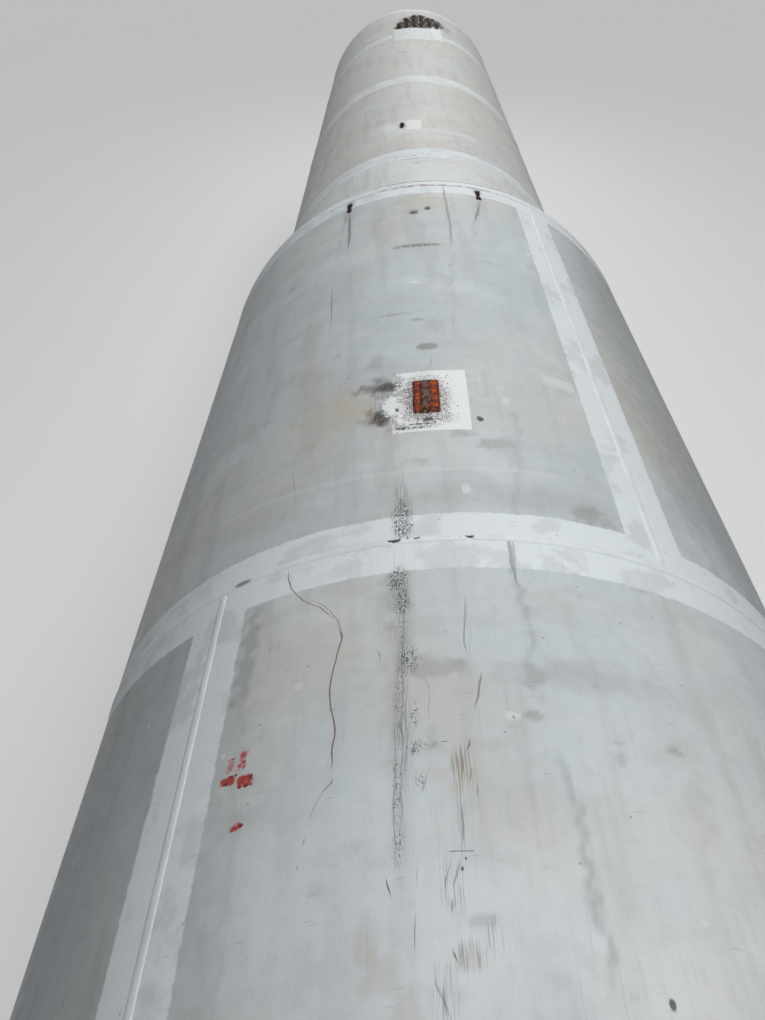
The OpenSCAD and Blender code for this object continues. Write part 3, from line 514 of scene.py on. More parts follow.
# Strokes on the first wide course: for each colour (strength, half width, path), and a path is
# (arc, y) points in metres
nearStrokes = dict(
    bare=[
        (0.5, 0.0026, [(-0.05, -3.74), (-0.049, -3.806), (-0.056, -3.868), (-0.057, -3.927),
            (-0.049, -3.974)]),
        (0.6, 0.0027, [(-0.093, -4.3), (-0.091, -4.343), (-0.092, -4.379), (-0.095, -4.415)]),
        (0.45, 0.0021, [(-0.145, -4.22), (-0.156, -4.255), (-0.165, -4.286), (-0.174, -4.312)]),
        (0.8, 0.0014, [(-0.178, -4.415), (-0.18, -4.459), (-0.181, -4.5)]),
        (0.75, 0.0014, [(-0.185, -4.505), (-0.187, -4.556), (-0.187, -4.61)]),
        (0.42, 0.002, [(-0.214, -3.99), (-0.219, -4.047), (-0.22, -4.119), (-0.223, -4.17), (-0.221, -4.22),
            (-0.223, -4.271), (-0.224, -4.372), (-0.217, -4.448)]),
        (0.65, 0.0018, [(-0.115, -4.423), (-0.125, -4.458), (-0.129, -4.479), (-0.128, -4.496)]),
        (0.55, 0.0018, [(-0.101, -4.422), (-0.106, -4.447), (-0.111, -4.469), (-0.116, -4.492)]),
        (0.45, 0.004, [(-0.121, -4.5), (-0.12, -4.512), (-0.123, -4.53)]),
        (0.38, 0.003, [(-0.154, -4.62), (-0.152, -4.641), (-0.145, -4.659), (-0.139, -4.674),
            (-0.133, -4.695)]),
        (0.5, 0.0018, [(-0.175, -3.985), (-0.161, -4.011), (-0.151, -4.023), (-0.146, -4.067),
            (-0.148, -4.101), (-0.147, -4.146)]),
        (0.42, 0.002, [(-0.201, -3.676), (-0.195, -3.745), (-0.2, -3.81), (-0.206, -3.991), (-0.203, -4.036),
            (-0.207, -4.12), (-0.206, -4.199), (-0.21, -4.272), (-0.209, -4.324), (-0.214, -4.404)]),
        (0.5, 0.002, [(-0.192, -3.988), (-0.197, -4.08), (-0.196, -4.153), (-0.2, -4.237), (-0.199, -4.304)]),
        (0.55, 0.006, [(0.083, -3.5), (0.085, -3.58), (0.084, -3.65), (0.088, -3.76)]),
        (0.4, 0.004, [(0.094, -3.52), (0.094, -3.6), (0.091, -3.69)]),
    ],
    dark=[
        (0.95, 0.0019, [(-0.238, -4.446), (-0.233, -4.477), (-0.227, -4.505)]),
        (0.6, 0.0027, [(-0.064, -4.168), (-0.069, -4.192), (-0.075, -4.21)]),
        (0.5, 0.003, [(-0.025, -3.988), (-0.032, -4.029), (-0.04, -4.072), (-0.052, -4.123)]),
        (0.35, 0.003, [(-0.268, -3.908), (-0.26, -3.932), (-0.256, -3.96)]),
        (0.85, 0.0019, [(-0.126, -4.58), (-0.12, -4.596), (-0.115, -4.614)]),
    ],
    brown=[
        (0.85, 0.0019, [(-0.531, -3.536), (-0.524, -3.614), (-0.509, -3.653), (-0.486, -3.685),
            (-0.464, -3.709), (-0.431, -3.735), (-0.401, -3.766), (-0.375, -3.81)]),
        (0.6, 0.0016, [(-0.456, -3.7), (-0.424, -3.728), (-0.394, -3.76), (-0.371, -3.8), (-0.355, -3.848),
            (-0.357, -3.885)]),
        (0.8, 0.0016, [(-0.356, -4.236), (-0.358, -4.252), (-0.37, -4.264), (-0.378, -4.28)]),
        (0.6, 0.0013, [(-0.404, -4.356), (-0.407, -4.369), (-0.409, -4.384)]),
        (0.6, 0.0015, [(-0.413, -4.412), (-0.415, -4.42), (-0.416, -4.428)]),
        (0.4, 0.0022, [(-0.091, -4.2), (-0.093, -4.243), (-0.093, -4.286)]),
        (0.35, 0.0026, [(-0.078, -4.205), (-0.085, -4.243), (-0.09, -4.283)]),
        (0.55, 0.0017, [(-0.064, -4.228), (-0.069, -4.258), (-0.074, -4.288)]),
        (0.45, 0.0016, [(-0.055, -4.268), (-0.059, -4.294), (-0.059, -4.318)]),
    ],
    crack=[
        (0.85, 0.002, [(-0.375, -3.805), (-0.358, -3.85), (-0.359, -3.885), (-0.367, -3.937),
            (-0.373, -3.974), (-0.374, -4.036), (-0.366, -4.08), (-0.357, -4.123), (-0.36, -4.183),
            (-0.356, -4.25)]),
        (0.45, 0.0014, [(-0.37, -4.258), (-0.38, -4.283), (-0.393, -4.31), (-0.402, -4.345)]),
    ],
)


# Marks that the shader draws there: (shape, strength, arc, y, half across, half along, softness,
# wobble of the edge, turn in degrees); the smear is a bar of red marking paint in two halves under
# two thin strokes, with a dab below it
nearSpots = dict(
    ticks=[
        ("box", 1, -0.097, -4.416, 0.023, 0.0008, 0.0008), ("box", 1, -0.118, -4.18, 0.007, 0.0008, 0.0008),
        ("blot", 1, -0.09, -4.43, 0.002, 0.003, 0.5), ("blot", 1, -0.098, -4.449, 0.003, 0.004, 0.5),
        ("blot", 1, 0.234, -4.66, 0.006, 0.009, 0.3),
    ],
    smear=[
        ("box", 1, -0.609, -4.194, 0.0215, 0.0125, 0.007, 0.014),
        ("box", 1, -0.564, -4.203, 0.021, 0.0145, 0.006, 0.014),
        ("box", 0.8, -0.578, -4.15, 0.011, 0.024, 0.007, 0.014),
        ("box", 0.7, -0.609, -4.156, 0.009, 0.02, 0.006, 0.014),
        ("blot", 0.95, -0.568, -4.309, 0.016, 0.009, 0.5, 1.0, 10.0),
    ],
    dried=[
        ("box", 1, -0.6, -4.184, 0.012, 0.0016, 0.002, 0.006),
        ("box", 1, -0.56, -4.216, 0.018, 0.0018, 0.002, 0.006),
        ("blot", 1, -0.549, -4.196, 0.0045, 0.006, 0.6, 0.6),
        ("blot", 1, -0.556, -4.308, 0.005, 0.004, 0.6, 0.6),
        ("blot", 1, -0.614, -4.201, 0.007, 0.003, 0.6, 0.6),
    ],
    chips=[
        ("blot", 1, 0.031, -4.117, 0.016, 0.011, 0.4, 0.9), ("blot", 1, -0.455, -3.985, 0.012, 0.01, 0.5),
    ],
    nick=[("blot", 0.6, 0.033, -4.121, 0.0035, 0.0035, 0.4)],
)


def makeNearCourse():
    half = paint["bandHalf"]
    skin = shellSkin(
        "widePaintNear", wide,
        [(weldAt["wideHead"], half), (weldAt["wide"] - 0.006, half)],
        [(seamAngle["wide1"], weldAt["wideHead"], weldAt["wide"])])
    skin.strokes(nearStrokes)
    skin.lay(most(skin.sootMask * 0.85, skin.spots(nearSpots["ticks"]) * 0.8), "soot")
    grit = skin.grain(90.0, 120.0, 6.0, 3.0, 0.65)
    brush = skin.spots(nearSpots["smear"]) + (grit - 0.5) * 1.1
    skin.lay(smooth(brush, 0.3, 0.55) * 0.6, "pink")
    skin.lay(smooth(brush, 0.62, 0.9) * 0.88, "red")
    skin.lay(skin.spots(nearSpots["dried"]) * 0.85, "oldRed")
    chips = most(skin.spots(nearSpots["chips"]), skin.dots(3.0, 0.006, 0.2, 1.0, 9.0))
    skin.lay(chips * 0.55, "chalk")
    skin.lay(skin.spots(nearSpots["nick"]), "bare")
    return skin.finishShell()


farStrokes = dict(
    bare=[
        (0.6, 0.0055, [(0.041, -0.56), (0.041, -0.764), (0.045, -0.981), (0.048, -1.333), (0.036, -1.6)]),
        (0.6, 0.002, [(-0.59, -2.947), (-0.556, -3.181), (-0.533, -3.435)]),
        (0.7, 0.0022, [(-0.095, -2.519), (-0.092, -2.59), (-0.092, -2.655)]),
    ],
    dark=[
        (0.55, 0.0085, [(-0.484, -0.72), (-0.47, -0.993), (-0.463, -1.24), (-0.464, -1.42)]),
        (0.5, 0.005, [(-0.505, -0.78), (-0.498, -0.9), (-0.506, -1.05)]),
        (0.55, 0.006, [(0.226, -0.78), (0.214, -0.97), (0.19, -1.1), (0.176, -1.22)]),
    ],
    brown=[
        (0.75, 0.0026, [(-0.526, -1.6), (-0.51, -1.95), (-0.496, -2.22)]),
    ],
)


# Chips and dirt on the second course, and the painted patch round its burnt-off lug, in the same way
farSpots = dict(
    chips=[
        ("blot", 1, -0.139, -1.9, 0.022, 0.012, 0.3, 0.9), ("blot", 1, 0.152, -2.849, 0.012, 0.02, 0.4, 1.2),
        ("blot", 1, -0.015, -3.335, 0.014, 0.022, 0.3, 0.8),
        ("blot", 1, 0.425, -1.429, 0.012, 0.03, 0.4, 0.8),
        ("box", 0.8, 0.372, -2.655, 0.06, 0.03, 0.012, 0.02),
    ],
    smudges=[
        ("blot", 1, -0.103, -2.479, 0.04, 0.026, 0.22, 0.35),
        ("blot", 0.6, -0.235, -2.185, 0.066, 0.008, 0.7, 0.8, -2.0),
        ("blot", 0.7, -0.133, -2.255, 0.024, 0.014, 0.6, 0.8),
    ],
    patch=[("box", 1, -0.102, -2.845, 0.128, 0.187, 0.0015, 0.004)],
    flake=[("blot", 1, -0.236, -2.868, 0.03, 0.06, 0.25, 1.1)],
    scorched=[("blot", 0.35, -0.116, -2.84, 0.074, 0.128, 0.35, 0.9)],
    spots=[
        ("blot", 1, 0.055, -2.968, 0.011, 0.014, 0.3, 1.4),
        ("blot", 1, -0.216, -2.895, 0.006, 0.01, 0.4, 1.4),
        ("blot", 1, -0.128, -1.06, 0.022, 0.02, 0.3, 1.4), ("blot", 1, -0.054, -1.01, 0.014, 0.024, 0.3, 1.2),
        ("blot", 1, -0.224, -3.544, 0.018, 0.005, 0.3, 0.6),
        ("blot", 1, -0.021, -3.545, 0.011, 0.004, 0.3, 0.6),
        ("box", 0.6, -0.12, -1.497, 0.1, 0.01, 0.01, 0.07),
        ("box", 1, -0.162, -3.008, 0.056, 0.003, 0.002, 0.014),
        ("box", 1, -0.14, -2.99, 0.04, 0.0022, 0.002, 0.014),
        ("box", 1, -0.112, -2.968, 0.014, 0.012, 0.004, 0.016),
    ],
)


def makeFarCourse():
    skin = shellSkin(
        "widePaintFar", wide,
        [(weldAt["wide"] - 0.006, paint["bandHalf"]), (weldAt["coneWide"] + 0.002, 0.125)],
        [(seamAngle["wide2"], weldAt["wide"], weldAt["coneWide"])])
    skin.strokes(farStrokes)
    # the faint mark of a strap that once lay round the shell, and chips
    strap = near(skin.y + skin.arc * skin.arc * -0.07, -3.24, 0.005, 0.01)
    strap = strap * near(skin.arc, -0.25, 0.6, 0.25)
    skin.lay(most(strap * 0.35, skin.spots(farSpots["chips"]) * 0.7), "chalk")
    skin.lay(skin.spots(farSpots["smudges"]) * 0.72, "grime")
    # the white patch round the burnt-off lug, scraped and scorched on its left side
    left = smooth(skin.arc, -0.23, -0.12)
    whole = most(smooth(skin.mottle + left * 0.35, 0.5, 0.58), smooth(skin.arc, -0.21, -0.15))
    patch = skin.spots(farSpots["patch"]) * whole
    skin.lay(most(skin.spots(farSpots["flake"]), patch) * 0.96, "patch")
    skin.lay(skin.spots(farSpots["scorched"]), "brown")
    skin.lay(most(skin.sootMask, skin.spots(farSpots["spots"])) * 0.86, "soot")
    return skin.finishShell()


coneScuffs = [("box", 1, -0.15, 0.545, 0.08, 0.01, 0.004), ("box", 1, -0.12, 0.47, 0.06, 0.01, 0.004)]
# White painted squares on the narrow shell, and cuts in the paint of the wide ring weld
narrowSquares = [("box", 0.8, -0.075, 1.325, 0.058, 0.13, 0.004, 0.01),
                 ("box", 0.9, 0.25, 5.34, 0.066, 0.44, 0.003, 0.01)]
weldCuts = [
    ("blot", 1, -0.224, -3.544, 0.018, 0.008, 0.3, 0.8), ("blot", 1, -0.163, -3.542, 0.008, 0.005, 0.3, 0.8),
    ("blot", 1, -0.187, -3.54, 0.004, 0.004, 0.3, 0.8), ("blot", 1, -0.021, -3.545, 0.012, 0.006, 0.3, 0.8),
    ("blot", 0.7, -0.684, -3.551, 0.026, 0.008, 0.6, 0.8),
]


def makeConePaint():
    # the cone and the short course beyond it; the two radii differ little for a pattern
    skin = shellSkin(
        "conePaint", narrow,
        [(weldAt["coneWide"] + 0.02, 0.13), (weldAt["coneNarrow"], 0.09), (weldAt["short"], 0.1)],
        [(seamAngle["short"], weldAt["coneNarrow"], weldAt["short"])])
    flaked = smooth(skin.grain(26.0, 60.0, 3.0, 2.0), 0.38, 0.54)
    skin.lay(skin.spots(coneScuffs) * flaked * 0.55, "bare")
    # a dark line along the shoulder of the cone, where the surface turns away: partly painted shade, partly
    # dirt, with rust in its middle
    shoulder = near(skin.y, -0.566, 0.014, 0.008)
    skin.lay(shoulder * near(skin.arc, 0.02, 0.38, 0.16) * (flaked * 0.4 + 0.5), "bare")
    skin.lay(shoulder * near(skin.arc, -0.04, 0.16, 0.14) * (flaked * 0.6 + 0.3), "rust")
    return skin.finishShell()


def makeNarrowPaint():
    ends = ["short", "narrow1", "narrow2", "narrowHead"]
    skin = shellSkin(
        "narrowPaint", narrow,
        [(weldAt["short"], 0.1), (weldAt["narrow1"] + 0.03, 0.12), (weldAt["narrow2"] + 0.03, 0.12),
         (weldAt["narrowHead"], 0.11)],
        [(seamAngle[f"narrow{k}"], weldAt[ends[k - 1]], weldAt[ends[k]]) for k in (1, 2, 3)])
    # white squares beside the small stump and the doubler, and the burnt far end
    skin.lay(skin.spots(narrowSquares), "patch")
    line = near(skin.arc, -0.017, 0.004, 0.003) * near(skin.y, 1.32, 0.13, 0.01)
    skin.lay(line * 0.5, "beige")
    torn = (skin.grain(24.0, 7.0, 3.0, 3.0, 0.65) - 0.5) * 2.6
    scar = smooth(skin.marks + torn, 0.4, 0.52) * smooth(skin.marks, 0.05, 0.3)
    skin.sootMask = most(scar, skin.sootMask)
    skin.lay(skin.sootMask * 0.94, "soot")
    skin.lay(scar * smooth(skin.grain(34.0, 11.0, 8.0, 2.0), 0.56, 0.64) * 0.75, "beige")
    return skin.finishShell()


def makeHeadPaint(name, radius, station):
    # a dished head, whose middle has no place on the flattened shell: only patterns in space
    skin = Skin(name, radius)
    skin.tone = skin.place.node("Attribute", {"attribute_name": "tint"})
    mottle = skin.noise(20.0, 3.0, 0.65)
    skin.lay(smooth(mottle, 0.48, 0.78) * 0.14, "grime")
    skin.lay(smooth(mottle, 0.42, 0.2) * 0.12, "chalk")
    edge = (mottle - 0.5) * 0.014
    skin.lay(smooth(abs(skin.y - station) + edge, 0.113, 0.107) * paint["bandCover"], "white")
    skin.lay(smooth(skin.drawn(9.0, 2.0, 0.7), 0.52, 0.76) * 0.3, "grime")
    rough = paint["roughness"] + (mottle - 0.5) * 0.3
    return skin.finish(skin.tone, rough, skin.noise(380.0, 0.0), paint["peel"], specular=0.22)


def makeTrimPaint(name, radius, cool, warm):
    # the same paint on welds, pads and wear plates, which keep no colours at their points
    skin = Skin(name, radius)
    cloud = skin.noise(1.6, 4.0, 0.6)
    skin.tone = mix(smooth(cloud, 0.38, 0.62), paint[cool], paint[warm])
    run = smooth(skin.drawn(8.0, 8.0, 0.8), 0.5, 0.72)
    skin.lay(run * smooth(skin.up, 0.9, -0.2) * 0.35, "grime")
    skin.lay(smooth(skin.noise(40.0, 3.0, 0.6), 0.58, 0.74) * 0.25, "grime")
    rough = paint["roughness"] + (cloud - 0.5) * 0.3
    return skin.finish(skin.tone, rough, skin.noise(380.0, 1.0), paint["peel"], specular=0.22)


def makeWeldPaint(name, radius):
    # contrast paint over a weld bead: fine ripples across it, with dark nicks and worn patches
    skin = Skin(name, radius)
    worn = smooth(skin.noise(9.0, 3.0, 0.6), 0.4, 0.7)
    nick = smooth(skin.noise(160.0, 2.0, 0.6), 0.66, 0.72)
    skin.tone = mix(worn * 0.7 + 0.15, paint["white"], paint["whiteWorn"])
    skin.lay(nick * 0.5, "grime")
    skin.lay(skin.spots(weldCuts), "soot")
    broken = smooth(skin.grain(24.0, 60.0, 5.0, 2.0), 0.4, 0.56)
    crease = near(skin.y, weldAt["coneWide"], 0.05, 0.02)
    skin.lay(crease * near(skin.arc, 0.0, 0.42, 0.2) * broken * 0.6, "grime")
    skin.lay(crease * near(skin.arc, -0.1, 0.09, 0.08) * broken * 0.6, "rust")
    skin.lay(smooth(skin.up + (worn - 0.5) * 0.3, -0.45, -1.1) * 0.35, "grime")
    ripple = skin.noise(1.0, 2.0, 0.5, skin.vector(skin.arc * 120.0, skin.y * 120.0, skin.z * 40.0))
    return skin.finish(skin.tone, 0.6 + (worn - 0.5) * 0.1, ripple + nick * -1.0, 0.0008)


# The saddles: shop grey, rust at the foot and where water runs off the wear plates
saddlePaint = dict(top=colour(150, 152, 153), low=colour(128, 127, 124), rust=colour(122, 74, 44),
                   dust=colour(168, 160, 144), rustTop=0.16)


def makeSaddlePaint():
    skin = Skin("saddlePaint", wide)
    cloud = skin.noise(3.0, 4.0, 0.6)
    tone = mix(smooth(cloud, 0.35, 0.65), saddlePaint["top"], saddlePaint["low"])
    splash = smooth(skin.z + (cloud - 0.5) * 0.3, saddlePaint["rustTop"], 0.0)
    pits = smooth(skin.noise(34.0, 5.0, 0.65), 0.46, 0.6)
    rusty = splash * pits
    streaks = smooth(skin.drawn(26.0, 26.0, 1.2), 0.6, 0.74)
    rusty = most(rusty, streaks * 0.35)
    tone = mix(rusty, tone, saddlePaint["rust"])
    dust = smooth(skin.noise(8.0, 4.0, 0.6), 0.5, 0.8)
    tone = mix(dust * 0.3, tone, saddlePaint["dust"])
    peel = skin.noise(240.0, 2.0, 0.5) * 0.3 + rusty * 0.7
    return skin.finish(tone, 0.52 + rusty * 0.3, peel, 0.001)


# Flanges and cover: light grey over machined faces, rust where wrenches bit and at the bolts
flangePaint = dict(base=colour(176, 180, 184), shadow=colour(150, 153, 156), rust=colour(132, 84, 52),
                   bright=colour(190, 190, 186))


def makeFlangePaint():
    skin = Skin("flangePaint", wide)
    cloud = skin.noise(7.0, 4.0, 0.6)
    tone = mix(smooth(cloud, 0.35, 0.65), flangePaint["base"], flangePaint["shadow"])
    runs = smooth(skin.drawn(40.0, 20.0, 1.5), 0.58, 0.72)
    spots = smooth(skin.noise(60.0, 4.0, 0.65), 0.6, 0.7)
    tone = mix(most(runs * 0.4, spots * 0.7), tone, flangePaint["rust"])
    rings = skin.noise(1.0, 1.0, 0.5, skin.vector(skin.x * 3.0, skin.z * 260.0, skin.y * 3.0))
    height = skin.noise(300.0, 2.0) * 0.3 + rings * 0.1 + spots * -0.4
    return skin.finish(tone, 0.45 + spots * 0.3, height, 0.001)


# Burnt and rusted steel of the cut brackets
rustedSteel = dict(dark=colour(70, 50, 42), mid=colour(136, 62, 44), bright=colour(172, 82, 42),
                   slag=colour(112, 104, 100), ash=colour(172, 164, 154), ashSize=130.0)


def makeRust(name, brightShare, slagShare, dark=0.0):
    skin = Skin(name, wide)
    cloud = skin.noise(36.0, 5.0, 0.65)
    tone = mix(smooth(cloud, 0.36, 0.58), rustedSteel["dark"], rustedSteel["mid"])
    orange = smooth(skin.noise(34.0, 4.0, 0.6, skin.vector(skin.y, skin.z, skin.x)),
                    0.66 - brightShare * 0.3, 0.74 - brightShare * 0.3)
    tone = mix(orange, tone, rustedSteel["bright"])
    slag = smooth(skin.noise(60.0, 4.0, 0.6, skin.vector(skin.z, skin.x, skin.y)),
                  0.7 - slagShare * 0.3, 0.78 - slagShare * 0.3)
    tone = mix(slag, tone, rustedSteel["slag"])
    tone = mix(dark + (cloud - 0.5) * dark, tone, paint["soot"])
    ash = smooth(skin.noise(rustedSteel["ashSize"] * (1 - dark), 3.0, 0.6), 0.58, 0.66)
    tone = mix(ash * 0.5, tone, rustedSteel["ash"])
    return skin.finish(tone, 0.88 + (cloud - 0.5) * 0.2, cloud + skin.noise(320.0, 3.0, 0.6) * 0.5, 0.002,
                       specular=0.12)


def makeDoublerPaint():
    skin = Skin("doublerPaint", narrow)
    cloud = skin.noise(5.0, 4.0, 0.6)
    tone = mix(smooth(cloud, 0.35, 0.65), colour(201, 209, 214), colour(208, 211, 210))
    scrape = smooth(skin.grain(40.0, 8.0, 3.0, 3.0), 0.56, 0.72)
    tone = mix(scrape * 0.25, tone, paint["bare"])
    return skin.finish(tone, 0.5 + (cloud - 0.5) * 0.2, skin.noise(300.0, 2.0) * 0.4 + scrape * -0.3, 0.001)


def makeGasket():
    skin = Skin("gasketSheet", wide)
    fibre = skin.noise(220.0, 4.0, 0.7)
    tone = mix(fibre, colour(44, 44, 46), colour(78, 77, 76))
    return skin.finish(tone, 0.85 + (fibre - 0.5) * 0.1, fibre, 0.0006)


def makeBoltSteel():
    skin = Skin("boltSteel", wide)
    cloud = skin.noise(50.0, 4.0, 0.6)
    tone = mix(smooth(cloud, 0.4, 0.62), colour(142, 144, 146), colour(112, 96, 80))
    bloom = smooth(skin.noise(120.0, 3.0, 0.6), 0.56, 0.68)
    tone = mix(bloom * 0.7, tone, colour(128, 78, 46))
    return skin.finish(tone, 0.42 + bloom * 0.4, cloud, 0.0008, metallic=0.75 - bloom * 0.6, specular=0.5)


skins = dict(
    nearCourse=makeNearCourse(), farCourse=makeFarCourse(), cone=makeConePaint(), narrow=makeNarrowPaint(),
    wideHead=makeHeadPaint("widePaintHead", wide, weldAt["wideHead"]),
    narrowHead=makeHeadPaint("narrowPaintHead", narrow, weldAt["narrowHead"]),
    wideTrim=makeTrimPaint("wideTrimPaint", wide, "wideCool", "wideWarm"),
    narrowTrim=makeTrimPaint("narrowTrimPaint", narrow, "narrowCool", "narrowWarm"),
    wideWeld=makeWeldPaint("weldPaintWide", wide),
    narrowWeld=makeWeldPaint("weldPaintNarrow", narrow),
    saddle=makeSaddlePaint(), flange=makeFlangePaint(), rust=makeRust("rustedSteel", 0.52, 0.16),
    orange=makeRust("rustedWeld", 0.45, 0.15, 0.4), slag=makeRust("cutSteel", 0.1, 0.8),
    burnt=makeRust("burntSteel", 0.0, 0.85, 0.78),
    doubler=makeDoublerPaint(), gasket=makeGasket(), bolt=makeBoltSteel(),
)
print("materials made")


def gridFaces(rows, cols, wrapRows=False, wrapCols=False):
    # quads between the neighbours of a rows x cols grid of points; a wrapped direction closes
    i = np.arange(rows if wrapRows else rows - 1)[:, None]
    j = np.arange(cols if wrapCols else cols - 1)[None, :]
    nextI, nextJ = (i + 1) % rows, (j + 1) % cols
    corners = [i * cols + j, i * cols + nextJ, nextI * cols + nextJ, nextI * cols + j]
    return np.stack(np.broadcast_arrays(*corners), -1).reshape(-1, 4)


def endCaps(rows, cols):
    # the two faces that close the first and last rows of such a grid
    return np.array([np.arange(cols), (rows - 1) * cols + np.arange(cols)])


def addObject(name, data):
    made = bpy.data.objects.new(name, data)
    bpy.context.scene.collection.objects.link(made)
    return made


def addPiece(name, parts, material, replaced=(), sharp=35.0):
    # one object from (points, face arrays) parts, with its doubles merged and its faces outwards
    points, faces = [], []
    for partPoints, faceSets in parts:
        first = sum(len(p) for p in points)
        points.append(partPoints.reshape(-1, 3))
        faces += [row for rows in faceSets for row in (rows + first).tolist()]
    mesh = bpy.data.meshes.new(name)
    mesh.from_pydata(np.concatenate(points).tolist(), [], faces)
    made = bmesh.new()
    made.from_mesh(mesh)
    bmesh.ops.remove_doubles(made, verts=made.verts, dist=1e-6)
    bmesh.ops.recalc_face_normals(made, faces=made.faces)
    made.to_mesh(mesh)
    made.free()
    mesh.polygons.foreach_set("use_smooth", np.ones(len(mesh.polygons), bool))
    mesh.set_sharp_from_angle(angle=math.radians(sharp))
    mesh.materials.append(material)
    piece = addObject(name, mesh)
    if replaced:
        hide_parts(*replaced)
    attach(piece, "root")
    return piece


def onShell(radius, angle, y):
    # points at that distance out of the axis, that angle from the top and that station
    radius, angle, y = np.broadcast_arrays(radius, angle, y)
    return np.stack([radius * np.sin(angle), y, vessel["axisZ"] + radius * np.cos(angle)], -1)


def outwards(angle):
    # the way out from the axis at that angle from the top
    return np.stack([np.sin(angle), 0 * angle, np.cos(angle)], -1)


def sway(first, second, seed, waves=7, shortest=0.5, longest=2.5):
    # a sum of sine waves in random directions over two parameters, about 1 at its highest
    pick = np.random.default_rng(seed)
    total = 0.0
    for _ in range(waves):
        turn = pick.uniform(0, 2 * np.pi)
        length = pick.uniform(shortest, longest)
        phase = pick.uniform(0, 6.28)
        total = total + np.sin((first * np.cos(turn) + second * np.sin(turn)) * 2 * np.pi / length + phase)
    return total / waves * 1.6


def window(value, low, high, fade):
    # 1 between low and high, falling to 0 at both ends over fade
    return ease(np.minimum(value - low, high - value), 0, fade)


# How far the rolled plates depart from true circles, and the spacing of their points, in metres:
# fine where the shell faces up, coarse elsewhere
plateWave = dict(height=0.0014, fine=0.009, coarse=0.05, facing=74.0, step=0.01, wideStep=0.03,
                 seen=(-4.85, -2.55))


def spaced(first, last, isFine, fine, coarse):
    # values from first to last, a fine step apart where isFine() says so and a coarse one elsewhere
    steps = np.linspace(first, last, 6000)
    count = np.cumsum(np.where(isFine(steps), 1 / fine, 1 / coarse)) * (steps[1] - steps[0])
    return np.interp(np.linspace(count[0], count[-1], int(count[-1]) + 2), count, steps)


def courseParts(radius, wall, low, high, angle, seed):
    # a rolled plate: a loop of outer stations then inner ones, carried round from one edge of the
    # weld gap to the other; the outer face waves a little, but not at its edges
    gap = vessel["gap"] / 2
    first, last = plateWave["seen"]
    y = spaced(low + gap, high - gap, lambda at: (at > first) & (at < last), plateWave["step"],
               plateWave["wideStep"])
    start = math.radians(angle) + gap / radius
    limit = math.cos(math.radians(plateWave["facing"]))
    turn = spaced(start, start + 2 * np.pi - 2 * gap / radius, lambda at: np.cos(at) > limit,
                  plateWave["fine"] / radius, plateWave["coarse"] / radius)[:, None]
    lift = plateWave["height"] * sway(turn * radius, y[None, :], seed, 9, 0.35, 1.8)
    edge = window(y[None, :], low, high, 0.1)
    edge = edge * window((turn - start) * radius, 0, 2 * np.pi * radius, 0.12)
    outer = onShell(radius + lift * edge, turn, y[None, :])
    inner = onShell(radius - wall, turn, y[[-1, 0]][None, :])
    grid = np.concatenate([outer, inner], 1)
    rows, cols = grid.shape[:2]
    return grid, [gridFaces(rows, cols, wrapCols=True), endCaps(rows, cols)]


def turned(profile, around=256, low=0.0, high=2 * np.pi):
    # a profile of (radius, y) points turned about the vessel's axis; an open profile starts and
    # ends on the axis, and a closed one repeats its first point
    profile = np.array(profile, float)
    closed = bool(np.allclose(profile[0], profile[-1]))
    if closed:
        profile = profile[:-1]
    full = high - low > 6.28
    turn = np.linspace(low, high, around + (0 if full else 1), endpoint=not full)[:, None]
    grid = onShell(profile[None, :, 0], turn, profile[None, :, 1])
    rows, cols = grid.shape[:2]
    faces = [gridFaces(rows, cols, wrapRows=full, wrapCols=closed)]
    if not full:
        faces.append(endCaps(rows, cols))
    return grid, faces


def dish(radius):
    # radii of the crown and knuckle of a dished head, and how far behind its flange the crown's
    # centre lies
    crown, knuckle = vessel["crownShare"] * 2 * radius, vessel["knuckleShare"] * 2 * radius
    return crown, knuckle, math.sqrt((crown - knuckle) ** 2 - (radius - knuckle) ** 2)


def headProfile(radius, wall, hole, y, way):
    # a dished head: flange, knuckle arc and crown arc outside, then the same a wall further in
    crown, knuckle, drop = dish(radius)
    join = math.asin((radius - knuckle) / (crown - knuckle))
    sides = []
    for inset in (0.0, wall):
        last = math.asin(hole / (crown - inset)) if hole else 0.0
        bend = np.linspace(np.pi / 2, join, 26)
        dome = np.linspace(join, last, 40)[1:]
        r = np.concatenate([[radius - inset], radius - knuckle + (knuckle - inset) * np.sin(bend),
                            (crown - inset) * np.sin(dome)])
        z = np.concatenate([[vessel["gap"] / 2], vessel["headFlange"] + (knuckle - inset) * np.cos(bend),
                            vessel["headFlange"] + (crown - inset) * np.cos(dome) - drop])
        sides.append(np.stack([r, y + way * z], -1))
    outline = np.concatenate([sides[0][::-1], sides[1]])
    return np.concatenate([outline, outline[:1]]) if hole else outline


def coneProfile():
    # flange, shoulder arc, slope, flare arc and flange outside, then the same a wall further in
    facts = dict(wall=0.016, angle=math.radians(30), shoulder=0.15, flare=0.13, flange=0.05)
    length = weldAt["coneNarrow"] - weldAt["coneWide"]
    sides = []
    for inset in (0.0, facts["wall"]):
        bend = np.linspace(0, facts["angle"], 14)
        shoulder, flare = facts["shoulder"] - inset, facts["flare"] + inset
        r = np.concatenate([[wide - inset], wide - facts["shoulder"] + shoulder * np.cos(bend),
                            narrow + facts["flare"] - flare * np.cos(bend[::-1]), [narrow - inset]])
        y = np.concatenate([[vessel["gap"] / 2], facts["flange"] + shoulder * np.sin(bend),
                            length - facts["flange"] - flare * np.sin(bend[::-1]),
                            [length - vessel["gap"] / 2]])
        sides.append(np.stack([r, weldAt["coneWide"] + y], -1))
    outline = np.concatenate([sides[0], sides[1][::-1]])
    return np.concatenate([outline, outline[:1]])


